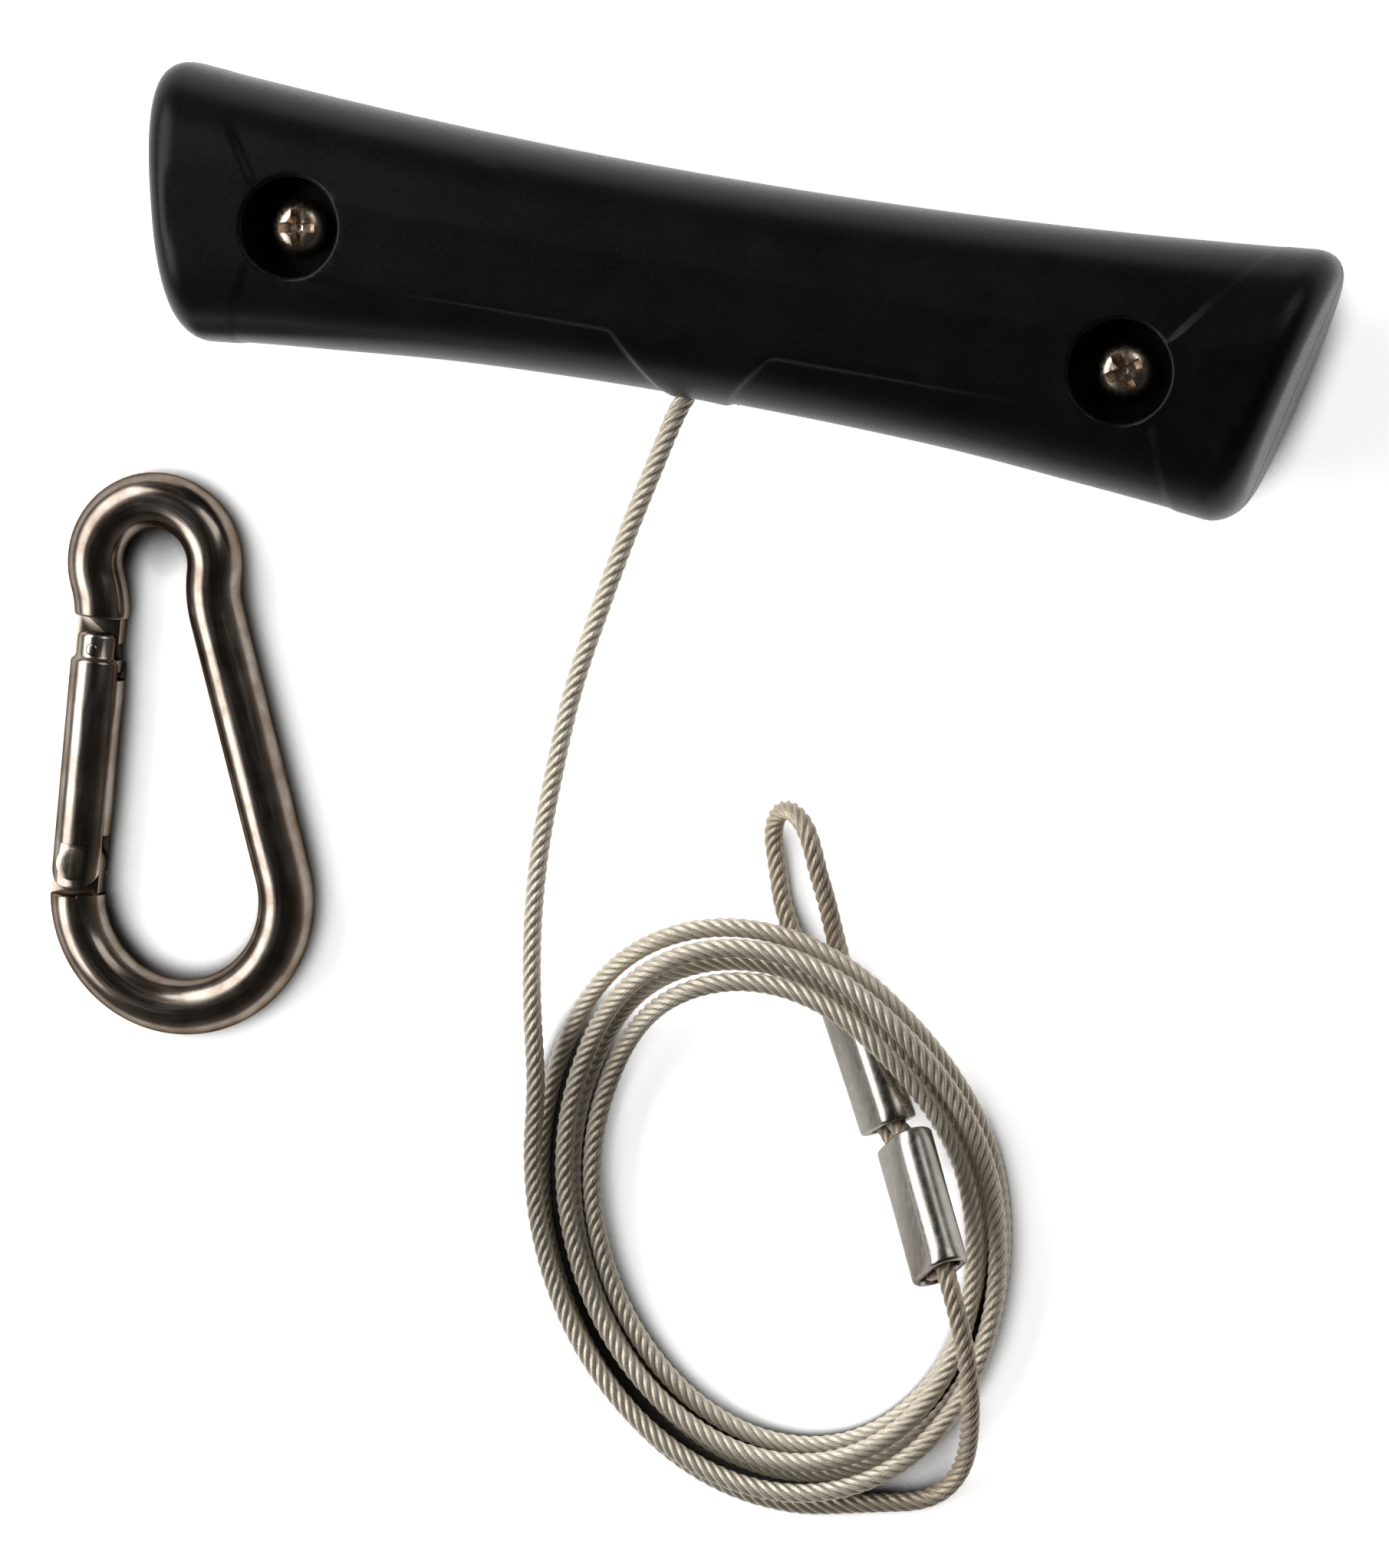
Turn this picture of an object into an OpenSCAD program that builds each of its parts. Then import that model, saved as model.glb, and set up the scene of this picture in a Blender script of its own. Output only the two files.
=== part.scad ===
// Pull handle with a coiled wire-rope tether and a separate snap hook.
// Everything lies on the plane z = 0. The grip runs along X, with its palm side towards +Y
// and the rope leaving its finger side towards -Y. All sizes are in millimetres.

/* [Grip] */
// Distance from the grip's middle to its end faces, on the screw axis
grip_half_l = 69; // [64:0.5:74]
// Height of the palm side above the screw axis, at the waist
palm_h = 14.1; // [13:0.1:15]
// Rise of the palm side from the waist to the ends
palm_rise = 3.5; // [2:0.1:5]
// Depth of the finger side below the screw axis, at the waist
finger_h = 12.5; // [12:0.1:14]
// Drop of the finger side from the waist to the ends
finger_drop = 3.7; // [2:0.1:5]
// Thickness of the grip across both shells
grip_t = 26; // [24:0.5:30]
// Squareness of the grip's section, where 2 is an ellipse
section_power = 2.4; // [2.2:0.1:3]
// Lean of the end faces, in degrees
end_lean = 13; // [5:0.5:16]
// Rounding of the end rims
end_r = 4; // [3:0.5:5]
// Depth of the palm and finger recesses
recess_d = 0.4; // [0.3:0.1:0.7]
// Wall of the shells
wall = 2.8; // [2:0.1:3.2]

/* [Screws] */
// Distance from the grip's middle to each screw
screw_x = 50.5; // [48:0.5:52]
// Diameter of the counterbore over each screw
counterbore_d = 12; // [10:0.5:13]
// Depth of the screw's seat below the front of the grip
seat_depth = 5.6; // [5:0.1:6.5]
// Diameter of the screw's head
head_d = 7; // [6.8:0.1:7.6]
// Height of the screw's head
head_h = 2.7; // [2:0.1:3]
// Diameter of the screw's thread
screw_d = 3.9; // [3.5:0.1:4.2]
// Length of the screw below its head
screw_l = 16; // [14:0.5:17]

/* [Wire rope] */
// Diameter of the wire rope
rope_d = 2.4; // [2:0.1:2.4]
// Half width of the coil, at the middle of its turns
coil_a = 26.3; // [26.2:0.1:26.6]
// Half height of the coil, at the middle of its turns
coil_b = 33.1; // [33:0.1:33.5]
// How far each turn of the coil lies inside the last
coil_pitch = 3.4; // [3.4:0.1:3.6]
// Rise of the coil where it lies across the upper ferrule
coil_lift = 8.7; // [8.7:0.1:8.9]
// Width of a ferrule
ferrule_w = 9.2; // [8.6:0.1:9.2]
// Thickness of a ferrule
ferrule_t = 5; // [4.5:0.1:5]
// Radius of the rope's eye, at its wide end
eye_r = 4.8; // [4.8:0.1:5]

/* [Snap hook] */
// Diameter of the hook's wire
wire_d = 7; // [6.5:0.1:7]
// Radius of the large bow, at the middle of the wire
big_r = 13.8; // [13.5:0.1:14.5]
// Radius of the small bow, at the middle of the wire
small_r = 7.9; // [7.6:0.1:8.2]
// Distance between the centres of the two bows
bow_gap = 42.1; // [41:0.1:44]
// Radius of the neck between the small bow and the spine
neck_r = 14; // [12:0.5:16]
// Lean of the spine and of the gate, in degrees
hook_lean = 10.3; // [9.5:0.1:10.8]
// Angle that the hook lies at, in degrees
hook_turn = 13.6; // [0:0.1:20]

/* [Hidden] */
$fn = 64;
eps = 0.01;

function clamp01(t) = min(1, max(0, t));
function ease(t) = let (c = clamp01(t)) c * c * (3 - 2 * c);
function unit(v) = v / norm(v);

// Grip form: one half of the grip stands on the parting plane, and both shells are cut from it
part_z = grip_t / 2;
land_cut = 0.3;
step_w = 1;
section_n = 24;
hollow_n = 12;
rim_n = 4;
finger_line = 5;
stem_half = 10;
flange_x = 56;
flange_y = 5.7;
flange_slope = 0.55;
finger_end_x = 56.4;

function palm_y(x) = palm_h + palm_rise * pow(x / grip_half_l, 2);
function finger_y(x) = finger_h + finger_drop * pow(x / grip_half_l, 2);

// The palm recess ends at a slanted step on each flange, and fades out towards the screws and the edge
function palm_cut(x, y) =
    recess_d * ease((y - 2) / 4) * (1 - 0.85 * ease((y - 7) / 6))
        * ease((flange_x + flange_slope * (y - flange_y) - abs(x)) / step_w);

// Two finger recesses leave a stem between them, where the rope comes out, and get shallow to the ends
function finger_cut(x, y) =
    let (below = -y - finger_line)
    recess_d * (1 - 0.6 * ease((abs(x) - 30) / 20)) * ease(below / step_w)
        * ease((abs(x) - stem_half + 0.9 * below) / step_w)
        * ease((finger_end_x + 0.5 * below - abs(x)) / step_w);

function skin_point(x, inset, cut, a) =
    let (
        k = 2 / section_power,
        y = (cos(a) >= 0 ? palm_y(x) - inset : inset - finger_y(x)) * pow(abs(cos(a)), k),
        z = (grip_t / 2 + land_cut - inset) * pow(abs(sin(a)), k),
        d = cut * (palm_cut(x, y) + finger_cut(x, y)),
        f = 1 - d / norm([y, z])
    )
    [x + f * y * tan(end_lean) * x / grip_half_l, f * y, f * z];

// A ring of the section, from the palm side over the front to the finger side
function skin_ring(x, inset, cut, n) = [for (i = [0:n]) skin_point(x, inset, cut, 180 * i / n)];

// The same ring carried on through the parting plane
function deep_ring(r, d) = concat([r[0] - [0, 0, d]], r, [r[len(r) - 1] - [0, 0, d]]);

function rim(half_l, r, inset) = [
    for (i = [0:rim_n]) let (a = 90 * i / rim_n) [half_l - r + r * sin(a), inset + r * (1 - cos(a))]
];

function both_ends(half) = concat(
    [for (i = [len(half) - 1:-1:1]) [-half[i][0], half[i][1]]],
    half
);

outer_stations = both_ends(concat(
    [for (x = [0:1.5:12]) [x, 0]],
    [for (x = [17:7:45]) [x, 0]],
    [for (x = [49:1.5:62.5]) [x, 0]],
    rim(grip_half_l, end_r, 0)
));
hollow_stations = both_ends(concat(
    [for (x = [0:9:54]) [x, wall]],
    rim(grip_half_l - wall, end_r - wall + 1, wall)
));

module loft(rings) {
    n = len(rings[0]);
    m = len(rings);
    sides = [
        for (j = [0:m - 2]) for (i = [0:n - 2]) let (p = j * n + i, q = p + n)
            each [[p, q + 1, p + 1], [p, q, q + 1]]
    ];
    parting = [
        for (j = [0:m - 2]) let (p = j * n, q = p + n)
            each [[p, q + n - 1, q], [p, p + n - 1, q + n - 1]]
    ];
    ends = [
        for (i = [1:n - 2]) each [[0, i, i + 1], [(m - 1) * n, (m - 1) * n + i + 1, (m - 1) * n + i]]
    ];
    polyhedron([for (r = rings) each r], concat(sides, parting, ends));
}

module grip_half() {
    difference() {
        loft([for (s = outer_stations) deep_ring(skin_ring(s[0], s[1], 1, section_n), 2)]);
        translate([-grip_half_l, -10, grip_t / 2]) cube([2 * grip_half_l, 20, 5]);
    }
}

// Hollow of a shell, around its screw bosses, peg bosses, ribs and rope anchor
rib_x = 20;
rib_t = 2;
peg_x = 33;
peg_d = 3;
peg_l = 3;
peg_boss_d = 7;
anchor_w = 18;

module shell_hollow(boss_d) {
    difference() {
        loft([for (s = hollow_stations) deep_ring(skin_ring(s[0], s[1], 0, hollow_n), 3)]);
        for (side = [-1, 1]) {
            translate([side * screw_x, 0, -4]) cylinder(d = boss_d, h = grip_t, $fn = 32);
            translate([side * peg_x, 0, -4]) cylinder(d = peg_boss_d, h = grip_t, $fn = 24);
            translate([side * rib_x - rib_t / 2, -25, -4]) cube([rib_t, 50, grip_t]);
        }
        translate([-anchor_w / 2, -25, -4]) cube([anchor_w, 50, grip_t]);
    }
}

// Rope anchor: a crimped sleeve and a washer pull against the wall round the outlet
rope_r = rope_d / 2;
outlet_y = -5;
outlet_mouth_r = 5;
seat_y = -3;
washer_t = 1.2;
washer_d = 9;
sleeve_d = 6;
sleeve_l = 9;
pocket_w = 10.6;
pocket_l = washer_t + sleeve_l + 0.6;

// One half of the grip, hollowed out, with the pocket that the sleeve and washer sit in
module shell_blank(boss_d) {
    resize([0, 0, 0])
    difference() {
        grip_half();
        shell_hollow(boss_d);
        translate([-pocket_w / 2, seat_y, -1]) cube([pocket_w, pocket_l, pocket_w / 2 + 1]);
        translate([-80, -25, -5]) cube([160, 50, 5]);
    }
}

module outlet() {
    translate([0, seat_y + 1, 0]) rotate([90, 0, 0]) cylinder(d = rope_d + 0.4, h = 4);
    translate([0, outlet_y + 0.5, 0]) rotate([90, 0, 0]) cylinder(r1 = rope_r + 0.2, r2 = outlet_mouth_r, h = 10);
}

boss_front_d = counterbore_d + 4;
boss_rear_d = 9;
seat_z = grip_t / 2 - seat_depth;
screw_hole_d = screw_d + 0.6;

module front_grip_shell() {
    color([0.13, 0.13, 0.14])
    translate([0, 0, part_z]) {
        difference() {
            shell_blank(boss_front_d);
            outlet();
            for (side = [-1, 1]) {
                translate([side * screw_x, 0, seat_z]) cylinder(d = counterbore_d, h = grip_t);
                translate([side * screw_x, 0, -1]) cylinder(d = screw_hole_d, h = grip_t);
            }
        }
        for (side = [-1, 1]) translate([side * peg_x, 0, -peg_l]) cylinder(d = peg_d, h = peg_l + 1);
    }
}

module rear_grip_shell() {
    color([0.13, 0.13, 0.14])
    translate([0, 0, part_z])
    mirror([0, 0, 1])
    difference() {
        shell_blank(boss_rear_d);
        outlet();
        for (side = [-1, 1]) {
            translate([side * screw_x, 0, -1]) cylinder(d = screw_d, h = screw_l - seat_z + 1.5);
            translate([side * peg_x, 0, -1]) cylinder(d = peg_d + 0.2, h = peg_l + 1.4);
        }
    }
}

// Pan-head screw with a cross recess, standing on its seat
head_edge = 1.1;
cross_w = 1.3;
cross_l = 4.6;
cross_depth = 1.7;
cross_mouth = 2.6;
tip_l = 3;

module screw() {
    color([0.72, 0.66, 0.58])
    difference() {
        rotate_extrude() polygon(concat(
            [[0, -screw_l], [0.4, -screw_l], [screw_d / 2, -screw_l + tip_l], [screw_d / 2, 0], [head_d / 2, 0]],
            [for (a = [0:15:75]) [
                head_d / 2 - 1.6 + 1.6 * cos(a),
                head_edge + (head_h - head_edge) * sin(a)
            ]],
            [[0, head_h]]
        ));
        for (a = [0, 90]) rotate([0, 0, a])
            translate([-cross_l / 2, -cross_w / 2, head_h - cross_depth]) cube([cross_l, cross_w, 3]);
        translate([0, 0, head_h - cross_depth]) cylinder(d1 = cross_w, d2 = cross_mouth, h = cross_depth + eps);
    }
}

module left_screw() {
    translate([-screw_x, 0, part_z + seat_z]) rotate([0, 0, 10]) screw();
}

module right_screw() {
    translate([screw_x, 0, part_z + seat_z]) rotate([0, 0, 35]) screw();
}

module along_y(y, d, l) {
    translate([0, y, part_z]) rotate([-90, 0, 0]) cylinder(d = d, h = l);
}

module stop_sleeve() {
    color([0.75, 0.76, 0.78])
    difference() {
        along_y(seat_y + washer_t, sleeve_d, sleeve_l);
        along_y(seat_y, rope_d, 20);
    }
}

module stop_washer() {
    color([0.7, 0.7, 0.72])
    difference() {
        along_y(seat_y, washer_d, washer_t);
        along_y(seat_y - 1, rope_d + 0.4, 4);
    }
}

rope_colour = [0.70, 0.67, 0.60];

module rope_anchor() {
    color(rope_colour) along_y(outlet_y, rope_d, seat_y + washer_t + sleeve_l - outlet_y);
}

// Tube swept along points, with its rings square to the route
function tangents(p) = [
    for (i = [0:len(p) - 1]) unit(p[min(i + 1, len(p) - 1)] - p[max(i - 1, 0)])
];

function tube_ring(p, t, r, n) =
    let (
        side = unit(cross([0, 0, 1], t)),
        up = cross(t, side)
    )
    [for (i = [0:n - 1]) let (a = 360 * (i + 0.5) / n) p + r * (cos(a) * side + sin(a) * up)];

module tube(p, t, r, n) {
    m = len(p);
    sides = [
        for (j = [0:m - 2]) for (i = [0:n - 1]) let (a = j * n + i, b = j * n + (i + 1) % n)
            each [[a, a + n, b + n], [a, b + n, b]]
    ];
    fans = [
        for (i = [1:n - 2]) each [[0, i, i + 1], [(m - 1) * n, (m - 1) * n + i + 1, (m - 1) * n + i]]
    ];
    polyhedron([for (j = [0:m - 1]) each tube_ring(p[j], t[j], r, n)], concat(sides, fans));
}

// Smooth curve through a list of points
function curve_at(a, b, c, d, t) =
    0.5 * (2 * b + (c - a) * t + (2 * a - 5 * b + 4 * c - d) * t * t + (3 * b - a - 3 * c + d) * t * t * t);

function curve(p, steps) = concat(
    [for (i = [1:len(p) - 3]) for (k = [0:steps - 1]) curve_at(p[i - 1], p[i], p[i + 1], p[i + 2], k / steps)],
    [p[len(p) - 2]]
);

// Coil: it winds inwards on the upper layer, drops a layer over half a turn where it reverses,
// and winds outwards again below, a little further out. The turns draw apart on the left and close up
// on the right.
coil_x = 22.2;
coil_y = -109.1;
coil_tilt = 23.5;
coil_start = 164;
coil_end = 1694;
coil_rings = 24;
layer_h = rope_d + 0.7;
lower_out = 0.8;
drift = 0.17;
squeeze = 1.17;
lift_angle = 67;
lift_flat = 26;
lift_ramp = 48;
turn_mid = (coil_start + coil_end) / 2;
turn_run = turn_mid - 90 - coil_start;
spread = coil_pitch * turn_run / 360;

function coil_layer(t) = 1 - ease((t - turn_mid + 90) / 180);
function coil_in(t) =
    spread * min(1, (turn_run + 90 - abs(t - turn_mid)) / turn_run) - lower_out * (1 - coil_layer(t));
function away(a, b) = abs((a - b + 540) % 360 - 180);
function coil_rise(t) = coil_lift * (1 - ease((away(t % 360, lift_angle) - lift_flat) / lift_ramp));

function coil_point(t) =
    let (
        in = coil_in(t),
        rho = spread / 2 - in,
        u = (coil_a + rho) * cos(t),
        v = (coil_b + squeeze * rho) * sin(t)
    )
    [
        coil_x + drift * in + u * cos(coil_tilt) - v * sin(coil_tilt),
        coil_y + u * sin(coil_tilt) + v * cos(coil_tilt),
        rope_r + layer_h * coil_layer(t) + coil_rise(t)
    ];

coil_turn = [for (t = [coil_start:360 / coil_rings:coil_end + eps]) coil_point(t)];
coil_last = len(coil_turn) - 1;
coil_in_dir = unit(coil_turn[1] - coil_turn[0]);
coil_out_dir = unit(coil_turn[coil_last] - coil_turn[coil_last - 1]);
coil_path = concat(
    [coil_turn[0] - coil_in_dir * rope_d],
    coil_turn,
    [coil_turn[coil_last] + coil_out_dir * rope_d]
);
coil_gap = min([
    for (i = [0:coil_last]) for (j = [i + 6:1:coil_last]) norm(coil_turn[i] - coil_turn[j])
]) - rope_d;
echo(coil_least_gap = coil_gap);

module rope_coil() {
    color(rope_colour) tube(coil_path, tangents(coil_path), rope_r, 6);
}

// Lead: from the grip's outlet down on to the coil's outer turn
lead_route = [
    [0, 0, 13], [0, -5, 13], [-0.8, -9, 13], [-2.9, -13.5, 13], [-5, -21, 12], [-7.3, -30, 11],
    [-9.5, -40, 10], [-11.4, -50, 9], [-12.3, -60, 8.2], [-12.8, -70, 7.3], [-12.4, -80, 6.5],
    [-11.1, -90, 5.6], [-9.2, -100, 4.8]
];
lead_end = coil_path[0];
lead_path = curve(concat(lead_route, [lead_end, lead_end + coil_in_dir * 8]), 2);

module rope_lead() {
    color(rope_colour) tube(
        lead_path,
        concat([[0, -1, 0]], [for (i = [1:len(lead_path) - 2]) tangents(lead_path)[i]], [coil_in_dir]),
        rope_r, 8
    );
}

// Ferrules: the line of the two crimped sleeves, from the tail's end to the eye. They lie rolled over,
// with their right edge up.
line_a = [46.2, -110, 15];
line_b = [37.9, -96.5, 8];
line_c = [35.7, -95.4, 7.1];
line_d = [27.7, -82, 4.1];
ferrule_roll = 45;
leg_gap = 1.3;

function level_side(d) = unit([d[1], -d[0], 0]);
function ferrule_side(d) =
    cos(ferrule_roll) * level_side(d) + sin(ferrule_roll) * cross(level_side(d), unit(d));
low_side = ferrule_side(line_b - line_a);
high_side = ferrule_side(line_d - line_c);

module ferrule(p, q) {
    d = q - p;
    l = norm(d);
    color([0.80, 0.80, 0.80])
    translate(p)
    rotate([0, acos(d[2] / l), atan2(d[1], d[0])])
    rotate([0, 0, -ferrule_roll])
    linear_extrude(l)
    difference() {
        union() {
            square([ferrule_t, ferrule_w - ferrule_t], center = true);
            for (s = [-1, 1]) translate([0, s * (ferrule_w - ferrule_t) / 2]) circle(d = ferrule_t);
        }
        for (s = [-1, 1]) translate([0, s * leg_gap]) circle(d = rope_d);
    }
}

module lower_ferrule() {
    ferrule(line_a, line_b);
}

module upper_ferrule() {
    ferrule(line_c, line_d);
}

// Tail: from under the coil, over its right side and down into the lower ferrule
tail_start = coil_path[coil_last + 2];
tail_end = line_a + leg_gap * low_side;
tail_in = unit(line_b - line_a);
tail_route = [
    [42.6, -142.8, 1.2], [46.4, -141.7, 1.4], [49.4, -139.3, 2.2], [51.3, -135.2, 4.4], [51.9, -130, 8.2],
    [51.7, -124.5, 11.8], [50.7, -119, 14.4], [49, -114, 15.7]
];
tail_path = curve(concat(
    [tail_start - coil_out_dir * 6, tail_start], tail_route, [tail_end, tail_end + tail_in * 6]
), 2);

module rope_tail() {
    color(rope_colour) tube(
        tail_path,
        concat([coil_out_dir], [for (i = [1:len(tail_path) - 2]) tangents(tail_path)[i]], [tail_in]),
        rope_r, 8
    );
}

// Eye: up through both ferrules, round the loop, which leans on its left leg, and back down
eye_c = [17.9, -64.3, 5.1];
eye_dir = [-0.37, 0.929, 0];
eye_lean = 48;
eye_across = cos(eye_lean) * [eye_dir[1], -eye_dir[0], 0] + [0, 0, sin(eye_lean)];
right_leg = [[26.2, -77.6, 4.4], [24.4, -73.4, 4.6], [23.2, -69.6, 6.2], [22.1, -66.6, 8]];
left_leg = [[15.9, -68, 1.5], [16.6, -71.2, 1.3], [18.4, -74.8, 1.4], [21.8, -79, 2.3]];

function leg(s) = [line_a + s * low_side, line_b + s * low_side, line_c + s * high_side, line_d + s * high_side];

back_leg = leg(-leg_gap);
eye_path = concat(
    leg(leg_gap),
    right_leg,
    [for (b = [0:20:180]) eye_c + eye_r * (cos(b) * eye_across + sin(b) * eye_dir)],
    left_leg,
    [for (i = [3:-1:0]) back_leg[i]]
);

module rope_eye() {
    color(rope_colour) tube(eye_path, concat(
        [tail_in],
        [for (i = [1:len(eye_path) - 2]) tangents(eye_path)[i]],
        [-tail_in]
    ), rope_r, 8);
}

// Snap hook, built about the large bow's centre with the small bow towards +Y and the gate at -X
hook_x = -58.6;
hook_y = -86;
wire_r = wire_d / 2;
neck_turn = acos((big_r + neck_r - bow_gap * sin(hook_lean)) / (small_r + neck_r)) - hook_lean;
spine_foot = big_r * [cos(hook_lean), sin(hook_lean)];
neck_c = [(small_r + neck_r) * cos(neck_turn), bow_gap - (small_r + neck_r) * sin(neck_turn)];
spine_head = neck_c - neck_r * [cos(hook_lean), sin(hook_lean)];
pivot = [-13.1, 5.2];
tongue_t = 2.6;
fork_gap = tongue_t + 0.3;
shoulder_low = -4.1;
shoulder_high = 31.2;

module hook_place() {
    translate([hook_x, hook_y, wire_r]) rotate([0, 0, hook_turn]) children();
}

// Along the gate: its own Y runs from the pivot up to the nose
module gate_place() {
    hook_place() translate([pivot[0], pivot[1], 0]) rotate([0, 0, -hook_lean]) children();
}

module bend(c, r, from, sweep, d) {
    translate([c[0], c[1], 0]) rotate([0, 0, from]) rotate_extrude(angle = sweep) translate([r, 0]) circle(d = d);
}

// The bows and necks run a little way into the straight spine and the small bow
lap = 0.8;
lap_d = wire_d - 0.02;

module hook_wire() {
    bend([0, 0], big_r, 180 - hook_lean, 180 + 2 * hook_lean + lap, lap_d);
    translate([spine_foot[0], spine_foot[1], 0]) rotate([-90, 0, hook_lean])
        cylinder(d = wire_d, h = norm(spine_head - spine_foot));
    bend(neck_c, neck_r, 180 - neck_turn - lap, neck_turn + hook_lean + 2 * lap, lap_d);
    bend([0, bow_gap], small_r, -neck_turn, 180 + 2 * neck_turn, wire_d);
    bend([-neck_c[0], neck_c[1]], neck_r, -hook_lean, neck_turn + hook_lean + lap, lap_d);
}

latch_y = 27.2;
latch_d = 1.6;
latch_l = 6.2;
latch_slot = 2;
lip_y = 24.4;
nose_w = 5.8;
knuckle_r = 3.1;
cam_y = 2.6;
rivet_d = 2.5;

// Flat tongue at the nose, with a slot that follows the latch pin as the gate swings
module nose_tongue() {
    linear_extrude(tongue_t, center = true)
    difference() {
        translate([-nose_w / 2, lip_y]) square([nose_w, shoulder_high - lip_y + 1]);
        intersection() {
            difference() {
                circle(r = latch_y + latch_slot / 2, $fn = 180);
                circle(r = latch_y - latch_slot / 2, $fn = 180);
            }
            translate([0, lip_y]) square([10, 10]);
        }
        translate([0, latch_y]) circle(d = latch_slot);
    }
}

// Flat tongue at the hinge, with the flat that the spring plunger pushes on
module hinge_tongue() {
    linear_extrude(tongue_t, center = true)
    difference() {
        union() {
            circle(r = knuckle_r);
            translate([-knuckle_r, shoulder_low - 1]) square([2 * knuckle_r, -shoulder_low + 1]);
        }
        translate([-5, cam_y]) square([10, 5]);
        circle(d = rivet_d);
    }
}

module hook_body() {
    color([0.62, 0.60, 0.58]) {
        difference() {
            hook_place() hook_wire();
            gate_place() translate([-8, shoulder_low, -8]) cube([16, shoulder_high - shoulder_low, 16]);
        }
        gate_place() nose_tongue();
        gate_place() hinge_tongue();
    }
}

gate_l = 29.4;
gate_top_r = 0.7;
gate_neck_y = 26.2;
gate_neck_r = 2.9;
knuckle_top = 2.5;
knuckle_t = 6;
knuckle_end_r = 3.3;
hinge_slot_l = 3.8;
nose_slot_y = 23.5;
spring_bore_d = 3.4;
spring_top = 16;

module hook_gate() {
    color([0.66, 0.64, 0.62])
    gate_place()
    difference() {
        union() {
            rotate([-90, 0, 0]) rotate_extrude() polygon([
                [0, knuckle_top], [wire_r, knuckle_top], [wire_r, gate_neck_y - 0.5],
                [gate_neck_r, gate_neck_y], [gate_neck_r, gate_l - gate_top_r],
                [gate_neck_r - gate_top_r, gate_l], [0, gate_l]
            ]);
            intersection() {
                translate([0, -wire_r, 0]) rotate([-90, 0, 0]) cylinder(d = wire_d, h = wire_r + knuckle_top + 0.1);
                union() {
                    cylinder(r = knuckle_end_r, h = wire_d + 2, center = true);
                    translate([-wire_r - 1, 0, -wire_r - 1]) cube([wire_d + 2, knuckle_top + 1, wire_d + 2]);
                }
                cube([wire_d + 2, 40, knuckle_t], center = true);
            }
        }
        translate([-6, -6, -fork_gap / 2]) cube([12, 6 + hinge_slot_l, fork_gap]);
        translate([-6, nose_slot_y, -fork_gap / 2]) cube([12, 10, fork_gap]);
        translate([0, 3, 0]) rotate([-90, 0, 0]) cylinder(d = spring_bore_d, h = spring_top - 3);
        cylinder(d = rivet_d + 0.1, h = 20, center = true);
        translate([0, latch_y, 0]) cylinder(d = latch_d, h = 20, center = true);
    }
}

rivet_head_d = 4.2;
rivet_head_h = 0.4;

module gate_rivet() {
    color([0.6, 0.58, 0.55])
    gate_place() {
        cylinder(d = rivet_d, h = knuckle_t + 0.1, center = true);
        for (s = [0, 180]) rotate([s, 0, 0])
            translate([0, 0, knuckle_t / 2 + 0.05]) cylinder(d1 = rivet_head_d, d2 = rivet_head_d - 1, h = rivet_head_h);
    }
}

module latch_pin() {
    color([0.7, 0.68, 0.66])
    gate_place() translate([0, latch_y, 0]) cylinder(d = latch_d, h = latch_l, center = true);
}

plunger_d = 2.8;
plunger_l = 4.2;

module spring_plunger() {
    color([0.7, 0.68, 0.66])
    gate_place() translate([0, cam_y + 0.05, 0]) rotate([-90, 0, 0]) {
        cylinder(d = plunger_d - 0.4, h = plunger_l);
        translate([0, 0, 1]) cylinder(d = plunger_d, h = plunger_l - 1);
    }
}

// Compression spring between the plunger and the end of its bore
spring_d = 2.5;
spring_wire = 0.5;
spring_turns = 7;
spring_low = cam_y + 0.05 + plunger_l + spring_wire / 2;
spring_high = spring_top - spring_wire / 2;
spring_path = [
    for (i = [0:spring_turns * 8]) let (a = 45 * i)
        [spring_d / 2 * cos(a), spring_d / 2 * sin(a), i * (spring_high - spring_low) / (spring_turns * 8)]
];

function coil_ring(p, r, n) =
    let (out = unit([p[0], p[1], 0]))
    [for (i = [0:n - 1]) let (a = 360 * i / n) p + r * (cos(a) * out + [0, 0, sin(a)])];

module gate_spring() {
    n = 6;
    m = len(spring_path);
    sides = [
        for (j = [0:m - 2]) for (i = [0:n - 1]) let (a = j * n + i, b = j * n + (i + 1) % n)
            each [[a, b, b + n], [a, b + n, a + n]]
    ];
    fans = [
        for (i = [1:n - 2]) each [[0, i + 1, i], [(m - 1) * n, (m - 1) * n + i, (m - 1) * n + i + 1]]
    ];
    color([0.55, 0.55, 0.57])
    gate_place() translate([0, spring_low, 0]) rotate([-90, 0, 0])
        polyhedron([for (p = spring_path) each coil_ring(p, spring_wire / 2, n)], concat(sides, fans));
}

front_grip_shell();
rear_grip_shell();
left_screw();
right_screw();
stop_sleeve();
stop_washer();
rope_anchor();
rope_lead();
rope_coil();
rope_tail();
rope_eye();
lower_ferrule();
upper_ferrule();
hook_body();
hook_gate();
gate_rivet();
latch_pin();
gate_spring();
spring_plunger();
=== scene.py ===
import math
import bmesh
import bpy
from mathutils import Matrix, Vector


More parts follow.
